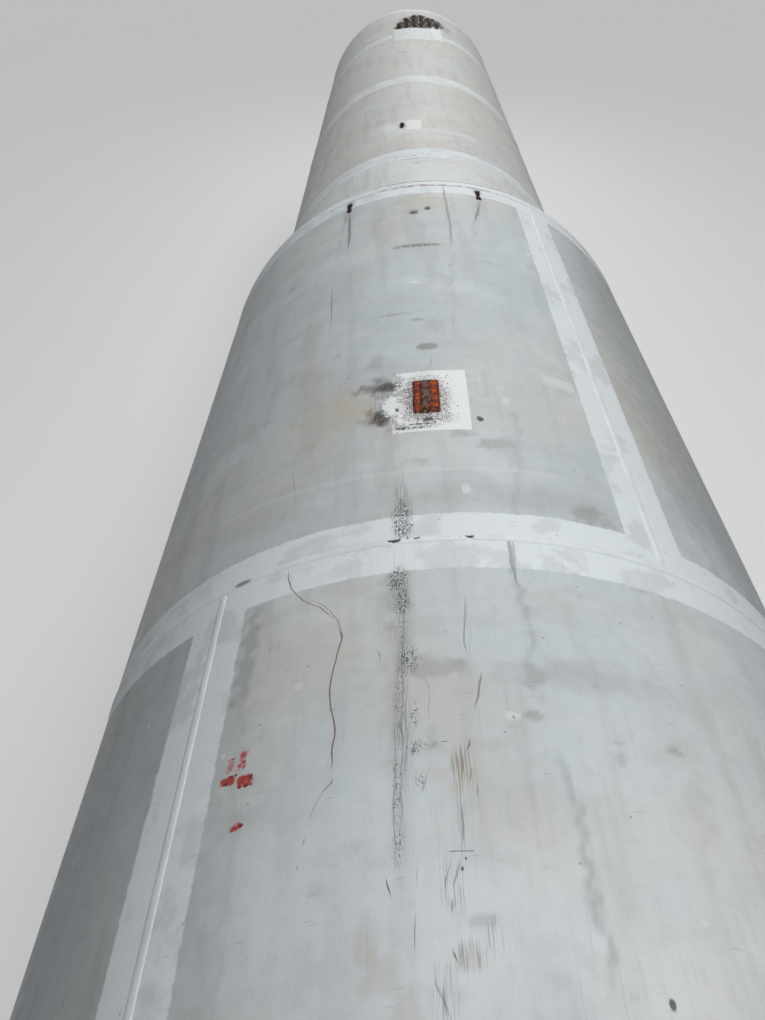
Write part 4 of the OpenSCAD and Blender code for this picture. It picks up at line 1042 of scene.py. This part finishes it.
# The finishes of the shells: radius, material, two broad tones, slot, and what marks them if any
finishes = dict(
    near=(wide, "nearCourse", "nearCool", "nearWarm", "wide_paint", nearStainsAndShade, nearStreaks, nearMarks),
    far=(wide, "farCourse", "wideCool", "wideWarm", "wide_paint", farStainsAndShade, farStreaks, farMarks),
    cone=(narrow, "cone", "coneCool", "coneWarm", "cone_paint"),
    narrow=(narrow, "narrow", "narrowCool", "narrowWarm", "narrow_paint", farEndStains, [], farEndMarks),
    wideHead=(wide, "wideHead", "wideCool", "wideWarm", "wide_paint"),
    narrowHead=(narrow, "narrowHead", "narrowCool", "narrowWarm", "narrow_paint"),
)
# The rolled plates: finish, the ring welds at both ends, and the lengthwise weld
courses = dict(
    wide_course_1=("near", "wideHead", "wide", "wide1"),
    short_course=("cone", "coneNarrow", "short", "short"),
    narrow_course_1=("narrow", "short", "narrow1", "narrow1"),
    narrow_course_2=("narrow", "narrow1", "narrow2", "narrow2"),
    narrow_course_3=("narrow", "narrow2", "narrowHead", "narrow3"),
    wide_course_2=("far", "wide", "coneWide", "wide2"),
)
# The bottom nozzles: station and outer radius; the bore of the shell is cut between two heights
nozzles = dict(outlet=(-1.4471, 0.04445), drain=(-0.9971, 0.03015))
nozzleFacts = dict(cutLow=0.42, cutHigh=0.58, sides=48, shellLeg=0.008, flangeLeg=0.006, flangeZ=0.374)


def boreBottom(piece):
    # round openings for the bottom nozzles, cut with upright cylinders
    sides = nozzleFacts["sides"]
    for y, radius in nozzles.values():
        turn = np.linspace(0, 2 * np.pi, sides, endpoint=False)[None, :]
        z = np.array([nozzleFacts["cutLow"], nozzleFacts["cutHigh"]])[:, None]
        radius = radius + vessel["seat"]
        ring = np.stack(np.broadcast_arrays(radius * np.cos(turn), y + radius * np.sin(turn), z), -1)
        cutter = bpy.data.meshes.new("cutter")
        caps = [list(range(sides))[::-1], list(range(sides, 2 * sides))]
        faces = gridFaces(2, sides, wrapCols=True).tolist() + caps
        cutter.from_pydata(ring.reshape(-1, 3).tolist(), [], faces)
        tool = addObject("cutter", cutter)
        cut = piece.modifiers.new("bore", "BOOLEAN")
        cut.object, cut.operation, cut.solver = tool, "DIFFERENCE", "EXACT"
        depsgraph = bpy.context.evaluated_depsgraph_get()
        piece.data = bpy.data.meshes.new_from_object(piece.evaluated_get(depsgraph))
        piece.modifiers.clear()
        bpy.data.objects.remove(tool)


def wallOf(radius):
    return vessel["wideWall"] if radius == wide else vessel["narrowWall"]


def addShell(node, part, finish, seed):
    radius, skinName, cool, warm, slotName, *marked = finishes[finish]
    piece = addPiece("shell_" + node, [part], skins[skinName], [node])
    if node == "wide_course_2":
        boreBottom(piece)
    tintPiece(piece, radius, cool, warm, seed, *marked)


for seed, (node, (finish, low, high, seam)) in enumerate(courses.items()):
    radius = finishes[finish][0]
    part = courseParts(radius, wallOf(radius), weldAt[low], weldAt[high], seamAngle[seam], seed + 3)
    addShell(node, part, finish, 100 + seed * 20)
wideEnd = headProfile(wide, vessel["headWall"], vessel["manwayHole"], weldAt["wideHead"], -1)
narrowEnd = headProfile(narrow, vessel["headWall"], 0.0, weldAt["narrowHead"], 1)
addShell("wide_head", turned(wideEnd), "wideHead", 300)
addShell("narrow_head", turned(narrowEnd), "narrowHead", 320)
addShell("cone", turned(coneProfile()), "cone", 340)
print("shells made")


# Weld beads between plates; nicks are places along the wide ring weld that a cutter touched
bead = dict(half=0.012, height=0.003, arcSteps=9, unevenWidth=0.1, unevenHeight=0.22, taper=0.008,
            ringSteps=900, seamStep=0.012, nickDepth=0.85,
            nicks=[(-0.224, 0.014), (-0.163, 0.005), (-0.187, 0.003), (-0.021, 0.01)])


def beadParts(place, along, wall, share, seed, closed):
    # a root that fills the weld gap and an arched bead on it, carried along a line; place() turns
    # (along, across, out) into points, and share swells the bead from nothing to its full size
    gap = vessel["gap"] / 2
    arch = np.linspace(0, np.pi, bead["arcSteps"])[None, :]
    size = bead["half"] * (1 + bead["unevenWidth"] * sway(along, 0 * along, seed, 9, 0.03, 0.25))
    rise = bead["height"] * (1 + bead["unevenHeight"] * sway(along, 0 * along, seed + 1, 9, 0.03, 0.2))
    size = (gap + (size - gap) * share)[:, None]
    rise = (rise * share)[:, None]
    root = np.ones((len(along), 1))
    across = np.concatenate([-gap * root, -gap * root, -size * np.cos(arch), gap * root, gap * root], 1)
    out = np.concatenate([-wall * root, vessel["seat"] * root, vessel["seat"] + rise * np.sin(arch),
                          vessel["seat"] * root, -wall * root], 1)
    grid = place(along[:, None], across, out)
    rows, cols = grid.shape[:2]
    faces = [gridFaces(rows, cols, wrapRows=closed, wrapCols=True)]
    if not closed:
        faces.append(endCaps(rows, cols))
    return grid, faces


def addBead(name, node, place, along, radius, share, seed, closed):
    part = beadParts(place, along, wallOf(radius), share, seed, closed)
    weldSkin = skins["wideWeld"] if radius == wide else skins["narrowWeld"]
    addPiece(name, [part], weldSkin, [node])


rings = dict(
    wide_head=("wideHead", wide), wide=("wide", wide), cone_wide=("coneWide", wide),
    cone_narrow=("coneNarrow", narrow), short=("short", narrow), narrow_1=("narrow1", narrow),
    narrow_2=("narrow2", narrow), narrow_head=("narrowHead", narrow),
)
for seed, (name, (station, radius)) in enumerate(rings.items()):
    turn = np.linspace(-np.pi, np.pi, bead["ringSteps"], endpoint=False)
    share = np.ones(len(turn))
    if name == "wide":
        for arc, half in bead["nicks"]:
            share = share - bead["nickDepth"] * np.exp(-((turn * radius - arc) / half) ** 2)
    y = weldAt[station]
    addBead("bead_ring_" + name, "ring_weld_" + name,
            lambda along, across, out: onShell(radius + out, along, y + across),
            turn, radius, share, seed * 7, True)

seams = dict(
    wide_1=("wideHead", "wide", wide), wide_2=("wide", "coneWide", wide),
    short=("coneNarrow", "short", narrow), narrow_1=("short", "narrow1", narrow),
    narrow_2=("narrow1", "narrow2", narrow), narrow_3=("narrow2", "narrowHead", narrow),
)
for seed, (name, (low, high, radius)) in enumerate(seams.items()):
    low, high = weldAt[low] + vessel["gap"] / 2, weldAt[high] - vessel["gap"] / 2
    y = np.linspace(low, high, int((high - low) / bead["seamStep"]))
    share = window(y, low + bead["half"], high - bead["half"], bead["taper"])
    angle = math.radians(seamAngle[name.replace("_", "")])
    addBead("bead_seam_" + name, "seam_" + name,
            lambda along, across, out: onShell(radius + out, angle + across / radius, along),
            y, radius, share, 90 + seed * 7, False)
print("welds between plates made")


def filletParts(points, first, second, leg, seed, closed=False):
    # a fillet weld in a corner: a five-sided bead whose legs lie along two plates, carried along
    # the corner's points; its size wavers a little
    count = len(points)
    along = np.concatenate([[0.0], np.cumsum(np.linalg.norm(np.diff(points, axis=0), axis=1))])
    size = leg * (1 + 0.12 * sway(along, 0 * along, seed, 7, 0.02, 0.15))[:, None, None]
    shares = np.array([[-0.1, -0.1], [1.0, -0.1], [0.92, 0.22], [0.6, 0.6], [0.22, 0.92], [-0.1, 1.0]])
    first = np.broadcast_to(first, (count, 3))[:, None, :]
    second = np.broadcast_to(second, (count, 3))[:, None, :]
    grid = points[:, None, :] + size * (shares[None, :, :1] * first + shares[None, :, 1:] * second)
    faces = [gridFaces(count, 6, wrapRows=closed, wrapCols=True)]
    if not closed:
        faces.append(endCaps(count, 6))
    return grid, faces


def straight(start, end, step=0.03):
    # points from start to end about a step apart
    start, end = np.array(start, float), np.array(end, float)
    count = max(int(np.linalg.norm(end - start) / step), 2)
    return start + (end - start) * np.linspace(0, 1, count)[:, None]


# The saddles, as the frame has them
saddle = dict(
    angle=120.0, overlap=6.0, wear=0.012, wearWidth=0.42, web=0.016, rib=0.014, ribs=5, ribSpan=0.3,
    base=0.022, leg=0.008, wearLeg=0.009,
    places=dict(wide=(-4.9971, wide, "wideTrim", "wide_paint"),
                narrow=(3.9597, narrow, "narrowTrim", "narrow_paint")),
)


def cornerWeld(start, end, first, second, seed):
    return filletParts(straight(start, end), first, second, saddle["leg"], seed)


def saddleWelds(y, radius):
    # the web and ribs of a saddle, welded to its base plate, to each other and to the wear plate
    cradle = radius + saddle["wear"] + 2 * vessel["seat"]
    reach = cradle * math.sin(math.radians(saddle["angle"] / 2))
    turn = np.radians(np.linspace(180 - saddle["angle"] / 2 + 0.5, 180 + saddle["angle"] / 2 - 0.5, 90))
    down = outwards(turn)
    base = saddle["base"]
    welds = []
    for way in (-1, 1):
        face = y + way * saddle["web"] / 2
        ribEnd = y + way * saddle["ribSpan"] / 2
        welds.append(cornerWeld((-reach, face, base), (reach, face, base), (0, way, 0), (0, 0, 1), 11))
        welds.append(filletParts(onShell(cradle, turn, face), (0, way, 0), down, saddle["leg"], 12))
        for k in range(saddle["ribs"]):
            middle = (reach - saddle["rib"] / 2) * (2 * k / (saddle["ribs"] - 1) - 1)
            for hand in (-1, 1):
                x = middle + hand * saddle["rib"] / 2
                topZ = vessel["axisZ"] - math.sqrt(cradle ** 2 - min(abs(x), reach) ** 2)
                foot = (x, face, base)
                welds.append(cornerWeld(foot, (x, ribEnd, base), (hand, 0, 0), (0, 0, 1), 13 + k))
                welds.append(cornerWeld(foot, (x, face, topZ - 0.006), (hand, 0, 0), (0, way, 0), 14 + k))
                if abs(x) < reach - 0.001:
                    lean = np.array([math.sqrt(cradle ** 2 - x ** 2) * hand, 0, x * hand]) / cradle
                    welds.append(cornerWeld((x, face, topZ), (x, ribEnd, topZ), lean, (0, 0, -1), 15 + k))
    return welds


def wearWelds(y, radius):
    # the welds along the four edges of a wear plate
    half = math.radians(saddle["angle"] / 2 + saddle["overlap"])
    turn = np.linspace(np.pi - half, np.pi + half, 140)
    down = outwards(turn)
    side = saddle["wearWidth"] / 2
    welds = []
    for way in (-1, 1):
        edge = onShell(radius, turn, y + way * side)
        welds.append(filletParts(edge, (0, way, 0), down, saddle["wearLeg"], 21))
        tip = np.pi + way * half
        tangent = (way * math.cos(tip), 0, -way * math.sin(tip))
        outward = (math.sin(tip), 0, math.cos(tip))
        edge = straight(onShell(radius, tip, y - side), onShell(radius, tip, y + side))
        welds.append(filletParts(edge, tangent, outward, saddle["wearLeg"], 22))
    return welds


for side, (y, radius, paintName, slotName) in saddle["places"].items():
    addPiece(side + "SaddleWelds", saddleWelds(y, radius), skins["saddle"])
    addPiece(side + "WearPlateWelds", wearWelds(y, radius), skins[paintName])
print("saddle welds made")


# The manway: welds round its neck and pad, and the studs of its cover
manway = dict(neck=0.254, pad=0.43, padRise=0.014, flangeBack=-7.2612, coverFront=-7.3622, leg=0.01,
              circle=0.33, studs=20, stud=0.0165, nut=0.025, nutHeight=0.03, spare=0.012, pitch=0.0035,
              thread=0.0009, chamfer=0.97)


def crownY(radius, rise=0.0):
    # station of the wide head's crown at a distance from the axis, or of a face that far above it
    crown, knuckle, drop = dish(wide)
    return weldAt["wideHead"] - vessel["headFlange"] + drop - math.sqrt((crown + rise) ** 2 - radius ** 2)


turn = np.linspace(0, 2 * np.pi, 120, endpoint=False)
outward = outwards(turn)
# each weld: distance from the axis, station, and the way it faces along y
manwayWelds = [(manway["neck"], crownY(manway["neck"], manway["padRise"]), -1),
               (manway["pad"], crownY(manway["pad"]), -1), (manway["neck"], manway["flangeBack"], 1)]
addPiece("manwayWelds", [
    filletParts(onShell(radius, turn, y), outward, (0, way, 0), manway["leg"], 31 + k, True)
    for k, (radius, y, way) in enumerate(manwayWelds)
], skins["wideTrim"])


def studParts(x, z, start, end, turnBy):
    # a threaded stud with a chamfered hexagon nut at each end; the thread is a row of ridges, and a
    # nut's radius is the lesser of its hexagon and its chamfer
    across = np.radians(np.arange(24) * 15.0)[:, None]

    def around(radius, y):
        grid = np.broadcast_arrays(x + radius * np.cos(across), y, z + radius * np.sin(across))
        return np.stack(grid, -1)

    ridges = np.linspace(start, end, int((end - start) / manway["pitch"]) * 2 + 1)
    thread = manway["stud"] - manway["thread"] * (np.arange(len(ridges)) % 2)
    y = np.concatenate([[start], ridges, [end]])[None, :]
    radius = np.concatenate([[1e-5], thread, [1e-5]])[None, :]
    count = len(y[0])
    caps = np.array([np.arange(24) * count, np.arange(24) * count + count - 1])
    parts = [(around(radius, y), [gridFaces(24, count, wrapRows=True), caps])]
    hexagon = manway["nut"] / np.cos((across + turnBy + np.pi / 6) % (np.pi / 3) - np.pi / 6)
    inside, height = manway["stud"] - 0.001, manway["nutHeight"]
    for low in (manway["coverFront"] - height, manway["flangeBack"]):
        edge = manway["nut"] * manway["chamfer"]
        chamfer = np.array([inside, edge, 1.0, 1.0, edge, inside])[None, :]
        y = low + height * np.array([0.0, 0.0, 0.1, 0.9, 1.0, 1.0])[None, :]
        nut = around(np.minimum(hexagon, chamfer), y)
        parts.append((nut, [gridFaces(24, 6, wrapRows=True, wrapCols=True)]))
    return parts


studs = []
for k in range(manway["studs"]):
    place = 2 * np.pi * (k + 0.5) / manway["studs"]
    spare = manway["nutHeight"] + manway["spare"]
    x = manway["circle"] * math.cos(place)
    z = vessel["axisZ"] + manway["circle"] * math.sin(place)
    studs += studParts(x, z, manway["coverFront"] - spare, manway["flangeBack"] + spare, k * 0.7)
addPiece("manwayStuds", studs, skins["bolt"])

# Welds of the bottom nozzles, at the shell and at the back of each flange
nozzleWelds = []
for y, radius in nozzles.values():
    x = radius * np.cos(turn)
    outward = np.stack([np.cos(turn), np.sin(turn), 0 * turn], -1)
    shellZ = vessel["axisZ"] - np.sqrt(wide ** 2 - x ** 2)
    for z, way, leg, seed in ((shellZ, -1, nozzleFacts["shellLeg"], 41),
                              (nozzleFacts["flangeZ"] + 0 * turn, 1, nozzleFacts["flangeLeg"], 42)):
        ring = np.stack([x, y + radius * np.sin(turn), z], -1)
        nozzleWelds.append(filletParts(ring, outward, (0, 0, way), leg, seed, True))
addPiece("nozzleWelds", nozzleWelds, skins["flange"])
print("manway and nozzles dressed")


def edged(half, fade, count):
    # positions from -half to half, close together within a fade of both ends
    rim = half - fade * np.array([1.0, 0.75, 0.5, 0.3, 0.15, 0.05, 0.0])
    return np.concatenate([-rim[::-1], np.linspace(-rim[0], rim[0], count)[1:-1], rim])


def slabParts(radius, angle, y, width, length, top, rim=0.002, torn=0.0, seed=1, count=40, lift=0.0,
              pinch=0.0):
    # a low block on the shell: its top is a height over two parameters that falls to nothing at the
    # rim, its underside is the shell's curve, torn adds a jagged outline and a broken top, and pinch
    # narrows it here and there along its length
    u = edged(width / 2, rim, count)[:, None]
    v = edged(length / 2, rim, count)[None, :]
    rise = window(u, -width / 2, width / 2, rim) * window(v, -length / 2, length / 2, rim)
    rise = np.sqrt(np.clip(rise, 0, 1))
    wear = 0.0006 * sway(u, v, seed, 12, 0.004, 0.05)
    if torn:
        broken = np.abs(sway(u, v, seed + 1, 12, width * 0.15, width * 0.9)) + 0.5 * np.abs(
            sway(u, v, seed + 2, 14, width * 0.06, width * 0.3))
        wear = wear - top * torn * np.clip(1.2 - 1.6 * broken, 0, 0.85)
    height = vessel["seat"] + lift + np.clip(top + wear, 0.0008, None) * rise
    jag = torn * width * 0.12
    uShift = jag * sway(v, 0 * u, seed + 3, 9, length * 0.08, length * 0.6) * (u / (width / 2))
    vShift = jag * sway(u, 0 * v, seed + 4, 9, width * 0.12, width * 0.7) * (v / (length / 2))
    waist = 1 - pinch * (0.5 + 0.5 * sway(v, 0 * v, seed + 5, 9, length * 0.15, length * 0.9))
    angles = math.radians(angle) + (u * waist + uShift) / radius
    stations = y + v + vShift
    upper = onShell(radius + height, angles, stations)
    lower = onShell(radius + vessel["seat"] + lift + 0 * height, angles, stations)
    rows, cols = upper.shape[:2]
    both = np.concatenate([upper.reshape(-1, 3), lower.reshape(-1, 3)])
    quads = gridFaces(rows, cols)
    return both, [quads, quads[:, ::-1] + rows * cols]


def rimWeld(radius, angle, y, width, length, leg, seed, lift=0.0):
    # a fillet weld round the four edges of a plate on the shell
    u, v = edged(width / 2, 0.01, 12), edged(length / 2, 0.01, 16)
    across = np.concatenate([u, np.full(len(v), width / 2), u[::-1], np.full(len(v), -width / 2)])
    along = np.concatenate([np.full(len(u), -length / 2), v, np.full(len(u), length / 2), v[::-1]])
    outAcross = np.concatenate([0 * u, 0 * v + 1, 0 * u, 0 * v - 1])
    outAlong = np.concatenate([0 * u - 1, 0 * v, 0 * u + 1, 0 * v])
    turn = math.radians(angle) + across / radius
    tangent = np.stack([np.cos(turn), 0 * turn, -np.sin(turn)], -1)
    away = tangent * outAcross[:, None] + np.array([0, 1.0, 0]) * outAlong[:, None]
    up = outwards(turn)
    return filletParts(onShell(radius + lift, turn, y + along), away, up, leg, seed, True)


# The lug that was burnt off the wide shell: its rusty pad, the weld round it, the stump and spatter
lug = dict(angle=-5.3, y=-2.8271, width=0.08, length=0.19, thick=0.008, stumpWidth=0.028,
           stumpLength=0.165, stumpHeight=0.007, leg=0.006, drops=220, dropSize=(0.0008, 0.0026),
           spread=(0.042, 0.075), aside=-0.01)
lugSpot = (wide, lug["angle"], lug["y"])
padSize = (lug["width"], lug["length"])
stumpSize = (lug["stumpWidth"], lug["stumpLength"])


def addRusty(name, parts, skinName, *replaced):
    addPiece(name, parts, skins[skinName], replaced, 60)


addRusty("lugPad", [slabParts(*lugSpot, *padSize, lug["thick"], 0.003, 0.35, 5, 56)], "rust", "lug_pad")
addRusty("lugPadWeld", [rimWeld(*lugSpot, *padSize, lug["leg"], 6)], "orange")
addRusty("lugStump", [slabParts(*lugSpot, *stumpSize, lug["stumpHeight"], 0.002, 0.7, 15, 48,
                                lug["thick"] + vessel["seat"])], "slag", "lug_stump")
addRusty("lugStumpWeld", [rimWeld(*lugSpot, *stumpSize, lug["leg"], 16, lug["thick"])], "orange")


def dropParts(count, seed):
    # drops of molten steel that froze on the shell: half globes scattered thickly near the pad
    pick = np.random.default_rng(seed)
    angle = math.radians(lug["angle"]) + pick.normal(lug["aside"], lug["spread"][0], count) / wide
    y = lug["y"] + pick.normal(0, lug["spread"][1], count)
    size = pick.uniform(*lug["dropSize"], count)
    around = np.linspace(0, 2 * np.pi, 8, endpoint=False)
    parts = []
    for share in (0.0, 0.55, 0.95):
        ring = size[:, None] * math.sqrt(1 - share ** 2)
        parts.append(onShell(wide + size[:, None] * share, angle[:, None] + ring * np.cos(around) / wide,
                             y[:, None] + ring * np.sin(around)))
    grid = np.stack(parts, 1)
    start = np.arange(count)[:, None] * 24
    faces = (gridFaces(3, 8, wrapCols=True)[None] + start[:, :, None]).reshape(-1, 4)
    return grid, [faces, start + np.arange(8)[::-1], start + np.arange(16, 24)]


addRusty("lugSpatter", [dropParts(lug["drops"], 51)], "slag")

# Stumps of the brackets at the cone and on the first narrow course, and the torn remains far away
stumps = dict(
    left=(wide, -22.0, -0.7621, 0.032, 0.13, 0.009, 61),
    right=(wide, 10.4, -0.7621, 0.032, 0.13, 0.009, 71),
    small=(narrow, -9.0, 1.3347, 0.032, 0.13, 0.009, 81),
)
remains = dict(count=6, pitch=4.8, angle=2.5, width=0.056, endLength=0.35, midLength=0.8, skew=0.14,
               start=5.4897, height=0.016)
for name, node, sides in (("bracketStumps", "bracket_stumps", ("left", "right")),
                          ("smallStump", "small_stump", ("small",))):
    parts = [slabParts(*stumps[side][:6], 0.002, 1.0, stumps[side][6], 28, 0.0, 0.6) for side in sides]
    addRusty(name, parts, "burnt", node)
strips = []
for k in range(remains["count"]):
    way = 2 * k / (remains["count"] - 1) - 1
    length = remains["endLength"] + (remains["midLength"] - remains["endLength"]) * (1 - way * way)
    middle = remains["start"] + remains["skew"] * (way + 1) / 2 + length / 2
    angle = remains["angle"] + remains["pitch"] * (remains["count"] - 1) / 2 * way
    strips.append(slabParts(narrow, angle, middle, remains["width"], length,
                            remains["height"] * (1 - k / remains["count"] / 2), 0.002, 1.0, 91 + k * 5, 40,
                            0.0, 0.4))
addRusty("bracketRemains", strips, "burnt", "bracket_remains")

# The doubler lies across a ring weld and covers its bead
doubler = dict(angle=-1.5, y=5.0897, width=0.43, length=0.7, thick=0.008, leg=0.007)
doublerSpot = (narrow, doubler["angle"], doubler["y"], doubler["width"], doubler["length"])
addPiece("doublerPlate", [slabParts(*doublerSpot, doubler["thick"], 0.002, 0.0, 96, 40)],
         skins["doubler"], ["doubler_plate"])
addPiece("doublerWeld", [rimWeld(*doublerSpot, doubler["leg"], 97)], skins["narrowWeld"])
print("cut brackets made")

# CAD nodes that keep their own mesh get their finish here
nodeSkins = dict(
    wideTrim=["manway_pad", "manway_neck", "wide_wear_plate"], narrowTrim=["narrow_wear_plate"],
    flange=["manway_flange", "manway_cover", "outlet_neck", "outlet_flange", "drain_neck", "drain_flange"],
    saddle=["wide_saddle_web", "wide_saddle_ribs", "wide_base_plate", "narrow_saddle_web",
            "narrow_saddle_ribs", "narrow_base_plate"],
    gasket=["manway_gasket"],
)
for skinName, nodes in nodeSkins.items():
    for node in nodes:
        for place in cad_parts[node].material_slots:
            place.material = skins[skinName]

# Room: a pale floor that keeps shadows, a pale surround, and a long soft box above the vessel
room = dict(floorSize=160.0, floor=colour(224, 224, 222), floorPatch=colour(219, 219, 218), floorGlow=0.34,
            surround=(0.8, 0.8, 0.79, 1.0), sky=(0.95, 0.975, 1.0, 1.0), skyLevel=0.22,
            box=(1.7, 24.0), boxPlace=(0.45, 0.0, 5.1), boxPower=250.0, boxColour=(1.0, 0.99, 0.97))


def notDiffuse(path):
    # 1 for what the camera sees, also in a mirror or through glass, and 0 for soft light
    return most(path, path.other("Is Glossy Ray"), path.other("Is Transmission Ray"))


def makeFloor():
    skin = Skin("floorPaint", wide)
    cloud = skin.noise(0.5, 3.0, 0.5)
    shown = notDiffuse(skin.place.node("LightPath")) * room["floorGlow"]
    glow = mix(shown, (0.0, 0.0, 0.0, 1.0), (1.0, 1.0, 0.99, 1.0))
    skin.tree.links.new(glow.socket, skin.shader.inputs["Emission Color"])
    skin.shader.inputs["Emission Strength"].default_value = 1.0
    half = room["floorSize"] / 2
    mesh = bpy.data.meshes.new("floor")
    corners = [(-half, -half, 0), (half, -half, 0), (half, half, 0), (-half, half, 0)]
    mesh.from_pydata(corners, [], [(0, 1, 2, 3)])
    tone = mix(cloud, room["floor"], room["floorPatch"])
    mesh.materials.append(skin.finish(tone, 0.9, None, specular=0.1))
    floor = addObject("floor", mesh)


def makeWorld():
    world = bpy.data.worlds.new("surround")
    world.use_nodes = True
    bpy.context.scene.world = world
    back = world.node_tree.nodes["Background"]
    shown = notDiffuse(Wire(world.node_tree, None).node("LightPath"))
    world.node_tree.links.new(mix(shown, room["sky"], room["surround"]).socket, back.inputs["Color"])
    world.node_tree.links.new(mixValue(shown, room["skyLevel"], 1.0).socket, back.inputs["Strength"])


def makeSoftBox():
    lamp = bpy.data.lights.new("softBox", "AREA")
    lamp.shape = "RECTANGLE"
    lamp.size, lamp.size_y = room["box"]
    lamp.energy = room["boxPower"]
    lamp.color = room["boxColour"]
    box = addObject("softBox", lamp)
    box.location = room["boxPlace"]
    box.visible_camera = False


makeFloor()
makeWorld()
makeSoftBox()

# The camera stands over the wide shell, a little to its left, and looks down along it
camera = dict(lens=27.89, sensor=36.0, place=(-0.235, -5.1346, 4.424), pitch=39.983, yaw=-0.718)
lens = bpy.data.cameras.new("camera")
lens.lens, lens.sensor_width, lens.sensor_fit = camera["lens"], camera["sensor"], "AUTO"
lens.clip_start, lens.clip_end = 0.05, 400.0
viewer = addObject("camera", lens)
viewer.location = camera["place"]
viewer.rotation_euler = (math.radians(90 - camera["pitch"]), 0.0, math.radians(-camera["yaw"]))
bpy.context.scene.camera = viewer
bpy.context.scene.view_settings.view_transform = "Standard"
print("room, light and camera made")
